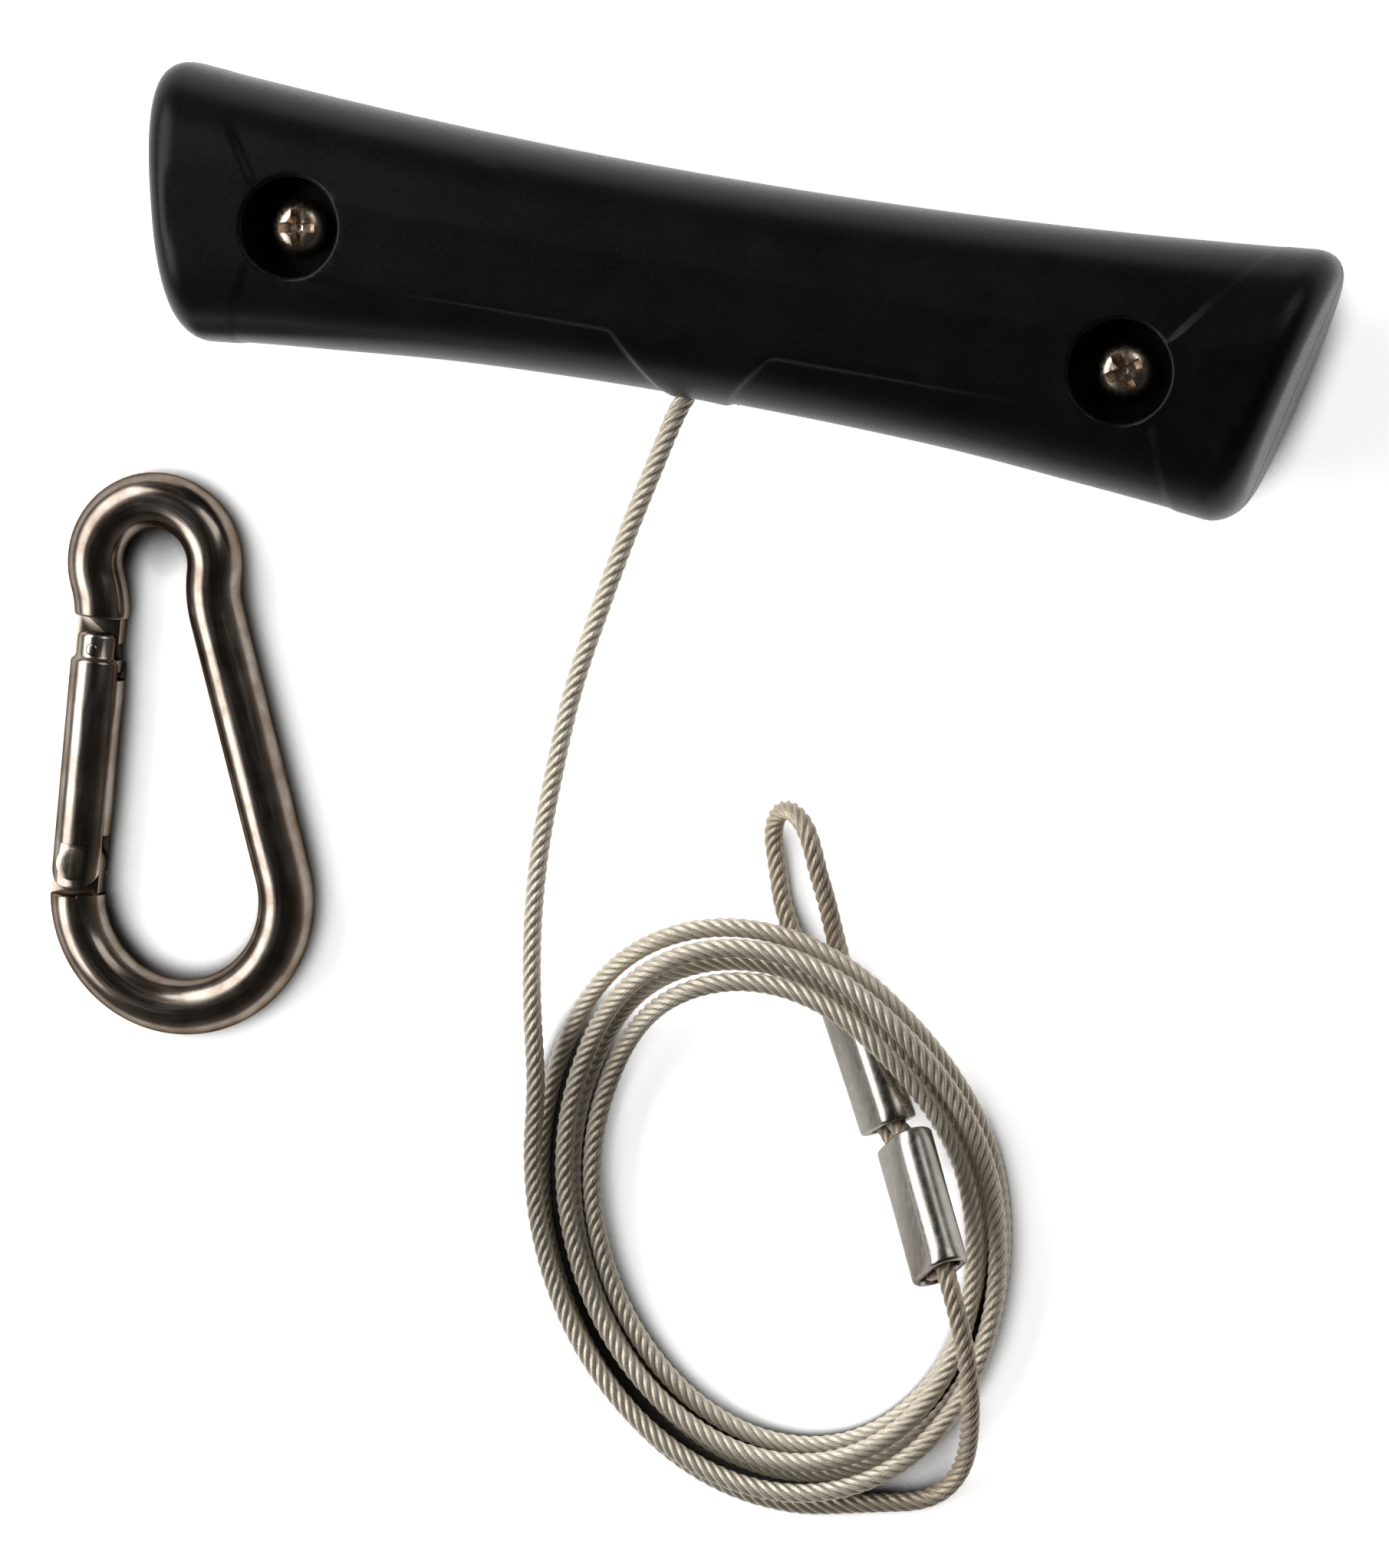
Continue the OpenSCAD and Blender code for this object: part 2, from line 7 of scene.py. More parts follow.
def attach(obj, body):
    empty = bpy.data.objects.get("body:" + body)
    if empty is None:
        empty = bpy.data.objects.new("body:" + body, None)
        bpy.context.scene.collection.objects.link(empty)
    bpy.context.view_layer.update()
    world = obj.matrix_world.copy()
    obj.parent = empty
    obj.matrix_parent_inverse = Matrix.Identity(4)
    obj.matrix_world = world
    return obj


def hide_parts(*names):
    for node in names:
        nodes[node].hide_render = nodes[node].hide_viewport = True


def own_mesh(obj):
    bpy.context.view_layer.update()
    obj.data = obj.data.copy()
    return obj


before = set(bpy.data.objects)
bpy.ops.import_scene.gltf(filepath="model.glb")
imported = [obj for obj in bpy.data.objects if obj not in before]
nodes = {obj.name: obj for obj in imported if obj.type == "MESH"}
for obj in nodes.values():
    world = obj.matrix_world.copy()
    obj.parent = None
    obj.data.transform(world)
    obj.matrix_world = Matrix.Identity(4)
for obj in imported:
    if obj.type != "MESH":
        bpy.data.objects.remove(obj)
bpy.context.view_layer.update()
scene = bpy.context.scene
scene.view_settings.view_transform = "Standard"
mm = 0.001

# camera
shot = {
    "place": (0.138, 0.026, 0.600),
    "right": (0.95810, 0.15969, -0.23778),
    "up": (-0.18720, 0.97744, -0.09784),
    "forward": (-0.21679, -0.13825, -0.96638),
    "lens": 115.98,
    "sensor": 36,
    "clip": (0.02, 20),
}


def placeCamera(s):
    data = bpy.data.cameras.new("photoCamera")
    data.lens = s["lens"]
    data.sensor_width = s["sensor"]
    data.clip_start, data.clip_end = s["clip"]
    camera = bpy.data.objects.new("photoCamera", data)
    scene.collection.objects.link(camera)
    turn = Matrix((s["right"], s["up"], -Vector(s["forward"]))).transposed()
    camera.matrix_world = Matrix.Translation(s["place"]) @ turn.to_4x4()
    scene.camera = camera


placeCamera(shot)
print("camera placed")


# shared mesh helpers; shapes are built in millimetres and scaled when they become a piece
def ease(t):
    t = min(1.0, max(0.0, t))
    return t * t * (3 - 2 * t)


def makePiece(name, bm, body, place=None, sharp=None):
    toMetres = Matrix.Scale(mm, 4) @ (place or Matrix.Identity(4))
    bmesh.ops.transform(bm, matrix=toMetres, verts=bm.verts[:])
    mesh = bpy.data.meshes.new(name)
    for f in bm.faces:
        f.smooth = True
    bm.to_mesh(mesh)
    bm.free()
    if sharp:
        mesh.set_sharp_from_angle(angle=math.radians(sharp))
    piece = bpy.data.objects.new(name, mesh)
    scene.collection.objects.link(piece)
    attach(piece, body)
    return piece


def startRing(bm, points):
    ring = [bm.verts.new(p) for p in points]
    for i in range(len(ring)):
        bm.edges.new((ring[i], ring[(i + 1) % len(ring)]))
    return ring


def ringEdges(bm, ring):
    return [bm.edges.get((ring[i], ring[(i + 1) % len(ring)])) for i in range(len(ring))]


def openEdges(bm):
    return [e for e in bm.edges if len(e.link_faces) == 1]


def edgeVerts(edges):
    # each vertex once, in the order of the edges
    return list(dict.fromkeys(v for e in edges for v in e.verts))


def growRing(bm, ring, points):
    # extrudes a closed ring of edges and sets the new ring on its points
    made = bmesh.ops.extrude_edge_only(bm, edges=ringEdges(bm, ring))["geom"]
    fresh = {v for v in made if isinstance(v, bmesh.types.BMVert)}
    out = []
    for v, p in zip(ring, points):
        w = next(e.other_vert(v) for e in v.link_edges if e.other_vert(v) in fresh)
        w.co = p
        out.append(w)
    return out


def loftRings(rings):
    # closed solid through a list of rings
    bm = bmesh.new()
    ring = startRing(bm, rings[0])
    bmesh.ops.edgeloop_fill(bm, edges=ringEdges(bm, ring))
    for points in rings[1:]:
        ring = growRing(bm, ring, points)
    bmesh.ops.edgeloop_fill(bm, edges=ringEdges(bm, ring))
    bmesh.ops.recalc_face_normals(bm, faces=bm.faces[:])
    return bm


def plate(outline, low, high):
    return loftRings([[Vector((x, y, z)) for x, y in outline] for z in (low, high)])


def turned(profile, steps=64):
    # solid of revolution about Z from pairs of radius and height
    bm = bmesh.new()
    verts = [bm.verts.new((r, 0, z)) for r, z in profile]
    edges = [bm.edges.new(pair) for pair in zip(verts, verts[1:])]
    bmesh.ops.spin(bm, geom=verts + edges, cent=(0, 0, 0), axis=(0, 0, 1), angle=2 * math.pi,
                   steps=steps, use_merge=True)
    bmesh.ops.remove_doubles(bm, verts=bm.verts[:], dist=1e-4)
    bmesh.ops.recalc_face_normals(bm, faces=bm.faces[:])
    return bm


def block(low, high):
    bm = bmesh.new()
    size = [b - a for a, b in zip(low, high)]
    middle = [(a + b) / 2 for a, b in zip(low, high)]
    place = Matrix.Translation(middle) @ Matrix.Diagonal((*size, 1))
    bmesh.ops.create_cube(bm, size=1, matrix=place)
    return bm


def looseShape(name, bm):
    mesh = bpy.data.meshes.new(name)
    bmesh.ops.recalc_face_normals(bm, faces=bm.faces[:])
    bm.to_mesh(mesh)
    bm.free()
    shape = bpy.data.objects.new(name, mesh)
    scene.collection.objects.link(shape)
    return shape


def dropShape(shape):
    mesh = shape.data
    bpy.data.objects.remove(shape)
    bpy.data.meshes.remove(mesh)


def carve(bm, *tools):
    # takes each tool out of the shape
    body = looseShape("carved", bm)
    for tool in tools:
        cutter = looseShape("cutter", tool)
        step = body.modifiers.new("cut", "BOOLEAN")
        step.operation = "DIFFERENCE"
        step.solver = "EXACT"
        step.object = cutter
        bpy.context.view_layer.update()
        graph = bpy.context.evaluated_depsgraph_get()
        shaped = bpy.data.meshes.new_from_object(body.evaluated_get(graph))
        body.modifiers.clear()
        old = body.data
        body.data = shaped
        bpy.data.meshes.remove(old)
        dropShape(cutter)
    out = bmesh.new()
    out.from_mesh(body.data)
    dropShape(body)
    return out


def addShape(bm, other, place):
    bmesh.ops.transform(other, matrix=place, verts=other.verts[:])
    shape = looseShape("added", other)
    bm.from_mesh(shape.data)
    dropShape(shape)


def bevelEdges(bm, edges, offset, segments=2):
    bmesh.ops.bevel(bm, geom=edges, offset=offset, segments=segments, profile=0.5,
                    affect="EDGES", material=-1)


def softenEdges(bm, offset, segments=2, limit=40):
    # bevels every edge that turns by more than the limit
    limit = math.radians(limit)
    edges = [e for e in bm.edges if len(e.link_faces) == 2 and e.calc_face_angle(0) > limit]
    bevelEdges(bm, edges, offset, segments)


def mapRings(bm, uv, place, span):
    # UV map of a swept shape: u runs round the ring up to span, v along it in millimetres
    for f in bm.faces:
        us = [place[l.vert][0] for l in f.loops]
        wrap = max(us) - min(us) > span / 2
        for l in f.loops:
            u, v = place[l.vert]
            l[uv].uv = (u + span if wrap and u < span / 2 else u, v)


# wire rope: one length from the stop in the grip to its dead end in the lower ferrule
rope = {
    "diameter": 2.4,
    "strands": 6,
    "pointsPerStrand": 5,
    "strandArc": 84,
    "lay": 8.8,
    "step": 0.5,
    "relax": 20,
    "length": 1.116,
    "anchorTop": (0, 7.2, 13),
    "lead": [
        (0, 0, 13), (0, -5, 13), (-0.8, -9, 13), (-2.9, -13.5, 13), (-5, -21, 12),
        (-7.3, -30, 11), (-9.5, -40, 10), (-11.4, -50, 9), (-12.3, -60, 8.2),
        (-12.8, -70, 7.3), (-12.4, -80, 6.5), (-11.1, -90, 5.6), (-9.2, -100, 4.8),
    ],
    "curveSteps": 8,
    "leadSteer": 8,
    "tailSteer": 6,
    "coilCentre": (22.2, -109.1),
    "coilHalf": (26.3, 33.1),
    "coilTilt": 23.5,
    "coilTurn": (164, 1694),
    "coilStep": 3,
    "dropTurn": 180,
    "coilPitch": 3.4,
    "coilDrift": 0.17,
    "coilSqueeze": 1.17,
    "coilLayer": 3.1,
    "lowerOut": 0.8,
    "coilLift": (8.7, 67, 26, 48),
    "tail": [
        (42.6, -142.8, 1.2), (46.4, -141.7, 1.4), (49.4, -139.3, 2.2), (51.3, -135.2, 4.4),
        (51.9, -130, 8.2), (51.7, -124.5, 11.8), (50.7, -119, 14.4), (49, -114, 15.7),
    ],
    "lowerFerrule": ((46.2, -110, 15), (37.9, -96.5, 8)),
    "upperFerrule": ((35.7, -95.4, 7.1), (27.7, -82, 4.1)),
    "ferruleRoll": 45,
    "legGap": 1.3,
    "rightLeg": [(26.2, -77.6, 4.4), (24.4, -73.4, 4.6), (23.2, -69.6, 6.2), (22.1, -66.6, 8)],
    "leftLeg": [(15.9, -68, 1.5), (16.6, -71.2, 1.3), (18.4, -74.8, 1.4), (21.8, -79, 2.3)],
    "eyeCentre": (17.9, -64.3, 5.1),
    "eyeAlong": (-0.37, 0.929, 0),
    "eyeLean": 48,
    "eyeRadius": 4.8,
    "eyeStep": 10,
}


def coilPoint(r, t):
    # winds in on the upper layer, drops a layer in half a turn and winds out below
    start, end = r["coilTurn"]
    middle, halfDrop = (start + end) / 2, r["dropTurn"] / 2
    run = middle - halfDrop - start
    spread = r["coilPitch"] * run / 360
    layer = 1 - ease((t - middle + halfDrop) / r["dropTurn"])
    inward = spread * min(1, (run + halfDrop - abs(t - middle)) / run) - r["lowerOut"] * (1 - layer)
    lift, middleTurn, flat, ramp = r["coilLift"]
    away = abs((t % 360 - middleTurn + 540) % 360 - 180)
    rise = lift * (1 - ease((away - flat) / ramp))
    a, tilt = math.radians(t), math.radians(r["coilTilt"])
    u = (r["coilHalf"][0] + spread / 2 - inward) * math.cos(a)
    v = (r["coilHalf"][1] + r["coilSqueeze"] * (spread / 2 - inward)) * math.sin(a)
    x = r["coilCentre"][0] + r["coilDrift"] * inward + u * math.cos(tilt) - v * math.sin(tilt)
    y = r["coilCentre"][1] + u * math.sin(tilt) + v * math.cos(tilt)
    return Vector((x, y, r["diameter"] / 2 + r["coilLayer"] * layer + rise))


def curveThrough(points, steps):
    # smooth line through the points; the first and last only steer it
    out = []
    for i in range(1, len(points) - 2):
        a, b, c, d = points[i - 1:i + 3]
        for k in range(steps):
            t = k / steps
            out.append(0.5 * (2 * b + (c - a) * t + (2 * a - 5 * b + 4 * c - d) * t * t
                              + (3 * b - a - 3 * c + d) * t * t * t))
    return out + [points[-2]]


def evenSteps(points, step):
    # the same line in even steps, where a short last step joins the one before it
    out, carry, shortest = [points[0]], 0.0, step * 0.3
    for a, b in zip(points, points[1:]):
        length = (b - a).length
        at = step - carry
        while at <= length:
            out.append(a.lerp(b, at / length))
            at += step
        carry = length - (at - step)
    if (out[-1] - points[-1]).length > shortest:
        out.append(points[-1])
    else:
        out[-1] = points[-1]
    return out


def ferruleSide(r, name):
    # broad side of a ferrule, which lies rolled over with its right edge up
    along = (Vector(r[name][1]) - Vector(r[name][0])).normalized()
    level = Vector((along.y, -along.x, 0)).normalized()
    roll = math.radians(r["ferruleRoll"])
    return math.cos(roll) * level + math.sin(roll) * level.cross(along)


def ropeLine(r):
    start, end = r["coilTurn"]
    turn = [coilPoint(r, t) for t in range(start, end + 1, r["coilStep"])]
    inDir, outDir = (turn[1] - turn[0]).normalized(), (turn[-1] - turn[-2]).normalized()
    leadEnd = turn[0] - inDir * r["diameter"]
    tailStart = turn[-1] + outDir * r["diameter"]
    lead = curveThrough([Vector(p) for p in r["lead"]] + [leadEnd, leadEnd + inDir * r["leadSteer"]],
                        r["curveSteps"])
    low = [Vector(p) for p in r["lowerFerrule"]]
    high = [Vector(p) for p in r["upperFerrule"]]
    lowSide = ferruleSide(r, "lowerFerrule") * r["legGap"]
    highSide = ferruleSide(r, "upperFerrule") * r["legGap"]
    tailEnd = low[0] + lowSide
    tailWay = (low[1] - low[0]).normalized()
    tail = curveThrough([tailStart - outDir * r["tailSteer"], tailStart] + [Vector(p) for p in r["tail"]]
                        + [tailEnd, tailEnd + tailWay * r["tailSteer"]], r["curveSteps"])
    lean = math.radians(r["eyeLean"])
    along = Vector(r["eyeAlong"]).normalized()
    across = math.cos(lean) * Vector((along.y, -along.x, 0)) + Vector((0, 0, math.sin(lean)))
    eye = [Vector(r["eyeCentre"]) + r["eyeRadius"] * (math.cos(b) * across + math.sin(b) * along)
           for b in (math.radians(d) for d in range(0, 181, r["eyeStep"]))]
    up = [low[0] + lowSide, low[1] + lowSide, high[0] + highSide, high[1] + highSide]
    down = [high[1] - highSide, high[0] - highSide, low[1] - lowSide, low[0] - lowSide]
    whole = [Vector(r["anchorTop"])] + lead + turn + tail + up
    whole += [Vector(p) for p in r["rightLeg"]] + eye + [Vector(p) for p in r["leftLeg"]] + down
    line = evenSteps(whole, r["step"])
    for _ in range(r["relax"]):
        inner = [(a + 2 * b + c) / 4 for a, b, c in zip(line, line[1:], line[2:])]
        line = [line[0]] + inner + [line[-1]]
    return line


def strandOutline(r):
    # lobed outline of the laid strands round the core
    radius, arc = r["diameter"] / 2, r["strandArc"]
    thin = radius / 3
    out = []
    for s in range(r["strands"]):
        mid = 2 * math.pi * s / r["strands"]
        for k in range(r["pointsPerStrand"]):
            turn = mid + math.radians(-arc + 2 * arc * k / (r["pointsPerStrand"] - 1))
            out.append(Vector((
                (radius - thin) * math.cos(mid) + thin * math.cos(turn),
                (radius - thin) * math.sin(mid) + thin * math.sin(turn),
            )))
    return out


def makeRope(r):
    line = ropeLine(r)
    outline = strandOutline(r)
    bm = bmesh.new()
    uv = bm.loops.layers.uv.new("lay")
    side = Vector((1, 0, 0))
    ring, along = None, 0.0
    place = {}
    for i, p in enumerate(line):
        way = (line[min(i + 1, len(line) - 1)] - line[max(i - 1, 0)]).normalized()
        side = (side - way * side.dot(way)).normalized()
        other = way.cross(side)
        if i:
            along += (p - line[i - 1]).length
        turn = 2 * math.pi * along / r["lay"]
        c, s = math.cos(turn), math.sin(turn)
        points = [p + side * (q.x * c - q.y * s) + other * (q.x * s + q.y * c) for q in outline]
        ring = growRing(bm, ring, points) if ring else startRing(bm, points)
        for k, v in enumerate(ring):
            place[v] = (k / r["pointsPerStrand"], along)
        if i == 0:
            bmesh.ops.contextual_create(bm, geom=ring)
    bmesh.ops.contextual_create(bm, geom=ring)
    bmesh.ops.recalc_face_normals(bm, faces=bm.faces[:])
    mapRings(bm, uv, place, r["strands"])
    piece = makePiece("wireRope", bm, "handle")
    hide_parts("rope_anchor", "rope_lead", "rope_coil", "rope_tail", "rope_eye")
    print("rope length", round(along, 1), "mm")
    return piece, [p * mm for p in line]


wireRope, ropePath = makeRope(rope)

# ferrules: oval sleeves pressed over both legs of the eye
ferrule = {
    "width": 9.2,
    "thick": 5.0,
    "around": 64,
    "lip": 0.45,
    "wall": 0.95,
    "mouthDepth": 2.2,
    "mouthFlare": 0.1,
    "mouthEdge": (0.12, 0.16),
    "waist": 0.012,
    "waistSteps": 12,
}


def ovalRing(f, inset, z, squeeze=1.0):
    radius = f["thick"] / 2 - inset
    flat = (f["width"] - f["thick"]) / 2
    out = []
    for i in range(f["around"]):
        a = 2 * math.pi * (i + 0.5) / f["around"]
        x = math.copysign(flat, math.cos(a)) + radius * math.cos(a)
        out.append(Vector((squeeze * x, squeeze * radius * math.sin(a), z)))
    return out


def makeFerrule(f, r, name, node):
    start, end = (Vector(p) for p in r[name])
    long = (end - start).length
    lip, wall, flare = f["lip"], f["wall"], f["mouthFlare"]
    edgeIn, edgeDown = f["mouthEdge"]
    # one end from inside the mouth, over its edge, to the outer face: inset and height
    half = [(wall + flare, f["mouthDepth"]), (wall, lip), (wall - edgeIn, edgeDown),
            (wall / 2 + flare, 0.0), (lip, 0.0)]
    for a in (math.radians(b) for b in (30, 60, 90)):
        half.append((lip * (1 - math.sin(a)), lip * (1 - math.cos(a))))
    rings = [ovalRing(f, inset, z) for inset, z in half]
    for i in range(1, f["waistSteps"]):
        t = i / f["waistSteps"]
        squeeze = 1 - f["waist"] * math.sin(math.pi * t) ** 2
        rings.append(ovalRing(f, 0, lip + (long - 2 * lip) * t, squeeze))
    rings += [ovalRing(f, inset, long - z) for inset, z in reversed(half)]
    bm = loftRings(rings)
    side = ferruleSide(r, name)
    axis = (end - start).normalized()
    turn = Matrix((side, axis.cross(side), axis)).transposed().to_4x4()
    place = Matrix.Translation(start) @ turn
    piece = makePiece(name, bm, "handle", place, sharp=50)
    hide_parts(node)
    return piece


lowerFerrule = makeFerrule(ferrule, rope, "lowerFerrule", "lower_ferrule")
upperFerrule = makeFerrule(ferrule, rope, "upperFerrule", "upper_ferrule")
print("rope and ferrules made")

# grip: one lofted body, parted into a front and a rear shell
grip = {
    "halfLength": 69,
    "palm": (14.1, 3.5),
    "finger": (12.5, 3.7),
    "halfThick": 13.0,
    "landCut": 0.3,
    "power": 2.4,
    "endLean": 13,
    "endRound": 4.0,
    "recess": 0.4,
    "stepWidth": 1.0,
    "palmLine": (2, 4),  # from, over
    "palmFade": (0.85, 7, 6),  # share, from, over
    "flange": (56, 5.7, 0.55),  # x, y, slope
    "fingerLine": 5,
    "fingerFade": (0.6, 30, 20),
    "stem": (10, 0.9),  # half width, slope
    "fingerEnd": (56.4, 0.5),
    "around": 224,
    "fineStep": 0.35,
    "coarseStep": 1.2,
    "coarseSpan": (13, 48),
    "endGap": 0.2,
    "endSteps": 8,
    "capInsets": (5.5, 7.5, 9.5, 11.2),
    "capBulge": 0.05,
    "outlet": [(0, 2), (1.4, 2), (1.4, 4.5), (2.0, 6.2), (3.2, 9.6), (5.0, 14.5), (6.2, 20), (0, 20)],
    "partBevel": 0.22,
    "screwX": 50.5,
    "wellRadius": 6.0,
    "wellLip": 0.45,
    "wellFloor": 20.4,
    "wellDepth": 16,
    "wellSteps": 96,
    "wellSlack": (0.02, 0.1),  # across, down
    "wellMerge": (0.02, 0.03),  # rim, seat
    "seatHole": 2.3,
}


def skinPoint(g, x, inset, a):
    # point of the skin at a station along the grip and an angle round it
    k = 2 / g["power"]
    t = x / g["halfLength"]
    c, s = math.cos(a), math.sin(a)
    palm = g["palm"][0] + g["palm"][1] * t * t - inset
    finger = g["finger"][0] + g["finger"][1] * t * t - inset
    y = math.copysign((palm if c >= 0 else finger) * abs(c) ** k, c)
    z = math.copysign((g["halfThick"] + g["landCut"] - inset) * abs(s) ** k, s)
    w, away = g["stepWidth"], abs(x)
    lineFrom, lineOver = g["palmLine"]
    share, fadeFrom, fadeOver = g["palmFade"]
    flangeX, flangeY, slope = g["flange"]
    palmCut = ease((y - lineFrom) / lineOver) * (1 - share * ease((y - fadeFrom) / fadeOver))
    palmCut *= ease((flangeX + slope * (y - flangeY) - away) / w)
    below = -y - g["fingerLine"]
    share, fadeFrom, fadeOver = g["fingerFade"]
    stemHalf, stemSlope = g["stem"]
    endX, endSlope = g["fingerEnd"]
    fingerCut = (1 - share * ease((away - fadeFrom) / fadeOver)) * ease(below / w)
    fingerCut *= ease((away - stemHalf + stemSlope * below) / w)
    fingerCut *= ease((endX + endSlope * below - away) / w)
    f = 1 - g["recess"] * (palmCut + fingerCut) / math.hypot(y, z)
    y, z = y * f, max(-g["halfThick"], min(g["halfThick"], z * f))
    return Vector((x + y * math.tan(math.radians(g["endLean"])) * t, y, z + g["halfThick"]))


def gripStations(g):
    # pairs of place and inset, closer together at the recesses' edges
    half, x = [], 0.0
    end, corner = g["halfLength"], g["endRound"]
    low, high = g["coarseSpan"]
    while x < end - corner - g["endGap"]:
        half.append((x, 0.0))
        x += g["coarseStep"] if low <= x <= high else g["fineStep"]
    for i in range(g["endSteps"] + 1):
        a = math.radians(90 * i / g["endSteps"])
        half.append((end - corner * (1 - math.sin(a)), corner * (1 - math.cos(a))))
    half += [(end + g["capBulge"], inset) for inset in g["capInsets"]]
    return [(-x, i) for x, i in reversed(half[1:])] + half


def gripBody(g):
    turns = [2 * math.pi * i / g["around"] for i in range(g["around"])]
    return loftRings([[skinPoint(g, x, inset, a) for a in turns] for x, inset in gripStations(g)])


def outletTool(g):
    # flared mouth and bore of the rope's outlet
    bm = turned(g["outlet"])
    place = Matrix.Translation((0, 0, g["halfThick"])) @ Matrix.Rotation(math.pi / 2, 4, "X")
    bmesh.ops.transform(bm, matrix=place, verts=bm.verts[:])
    return bm


def partShell(body, g, front):
    # one half of the grip, with a bevel along the parting line
    bm, middle = body.copy(), g["halfThick"]
    cut = bmesh.ops.bisect_plane(bm, geom=bm.verts[:] + bm.edges[:] + bm.faces[:], plane_co=(0, 0, middle),
                                 plane_no=(0, 0, 1), clear_inner=front, clear_outer=not front, dist=1e-4)
    rim = [e for e in cut["geom_cut"] if isinstance(e, bmesh.types.BMEdge)]
    bmesh.ops.contextual_create(bm, geom=rim)
    rim = [e for e in bm.edges
           if all(abs(v.co.z - middle) < 1e-3 for v in e.verts) and len(e.link_faces) == 2]
    bevelEdges(bm, rim, g["partBevel"])
    bmesh.ops.recalc_face_normals(bm, faces=bm.faces[:])
    return bm


def sinkWell(bm, g, x):
    # counterbore with a rounded lip and a flat seat for the screw's head
    radius, lip, floor, deep = g["wellRadius"], g["wellLip"], g["wellFloor"], g["wellDepth"]
    lipRadius = radius + lip
    across, down = g["wellSlack"]
    rimMerge, seatMerge = g["wellMerge"]
    tool = bmesh.new()
    bmesh.ops.create_cone(tool, cap_ends=True, segments=g["wellSteps"], radius1=lipRadius, radius2=lipRadius,
                          depth=deep, matrix=Matrix.Translation((x, 0, floor + deep / 2)))
    bm = carve(bm, tool)

    def inWell(v):
        return math.hypot(v.co.x - x, v.co.y) < lipRadius + across and v.co.z > floor - down

    bmesh.ops.delete(bm, geom=[f for f in bm.faces if all(inWell(v) for v in f.verts)], context="FACES")
    bmesh.ops.remove_doubles(bm, verts=edgeVerts(openEdges(bm)), dist=rimMerge)
    edges = openEdges(bm)
    rimZ = bm.verts.layers.float.new("rimZ")
    for v in bm.verts:
        v[rimZ] = v.co.z
    turns = [math.radians(15 * i) for i in range(1, 7)]
    steps = [(lip * (1 - math.sin(a)), lip * (1 - math.cos(a))) for a in turns]
    for out, drop in steps + [(0, None), (g["seatHole"] - radius, None)]:
        made = bmesh.ops.extrude_edge_only(bm, edges=edges)["geom"]
        edges = [e for e in made if isinstance(e, bmesh.types.BMEdge) and len(e.link_faces) == 1]
        for v in edgeVerts(edges):
            away = Vector((v.co.x - x, v.co.y, 0)).normalized() * (radius + out)
            v.co = (x + away.x, away.y, floor if drop is None else v[rimZ] - drop)
    bm.verts.layers.float.remove(rimZ)
    bmesh.ops.remove_doubles(bm, verts=edgeVerts(edges), dist=seatMerge)
    bmesh.ops.edgeloop_fill(bm, edges=openEdges(bm))
    bmesh.ops.recalc_face_normals(bm, faces=bm.faces[:])
    return bm


def makeGrip(g):
    body = carve(gripBody(g), outletTool(g))
    front, rear = partShell(body, g, True), partShell(body, g, False)
    body.free()
    for x in (-g["screwX"], g["screwX"]):
        front = sinkWell(front, g, x)
    front = makePiece("frontShell", front, "handle", sharp=45)
    rear = makePiece("rearShell", rear, "handle", sharp=45)
    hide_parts("front_grip_shell")
    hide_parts("rear_grip_shell")
    return front, rear


frontShell, rearShell = makeGrip(grip)
print("grip made", len(frontShell.data.polygons), len(rearShell.data.polygons))

# screws: pan heads with a cross recess, on the seats of the wells
screw = {
    "seat": grip["wellFloor"],
    "head": [(0, 2.7), (0.9, 2.69), (1.6, 2.62), (2.2, 2.44), (2.7, 2.14), (3.1, 1.74), (3.36, 1.28),
             (3.48, 0.8), (3.5, 0.3), (3.4, 0.06), (3.25, 0)],
    "around": 72,
    "shank": 1.95,
    "core": 1.4,
    "neck": 1.0,
    "length": 16,
    "tip": (3, 0.3),  # length, end radius
    "threadPitch": 1.4,
    "threadRoot": (0.35, 0.55),
    "recess": {"depth": 1.75, "above": 0.1, "top": (5.0, 1.35), "bottom": (2.6, 0.8), "cone": 1.45,
               "point": (0.35, 0.2), "around": 32},
}


def crossWing(s, turn):
    # tapered tool for one bar of the cross
    r = s["recess"]
    top = s["head"][0][1] + r["above"]
    corners = ((-1, -1), (1, -1), (1, 1), (-1, 1))
    rings = []
    for (long, wide), z in ((r["bottom"], top - r["above"] - r["depth"]), (r["top"], top)):
        rings.append([Vector((x * long / 2, y * wide / 2, z)) for x, y in corners])
    bm = loftRings(rings)
    bmesh.ops.rotate(bm, cent=(0, 0, 0), matrix=Matrix.Rotation(turn, 3, "Z"), verts=bm.verts[:])
    return bm


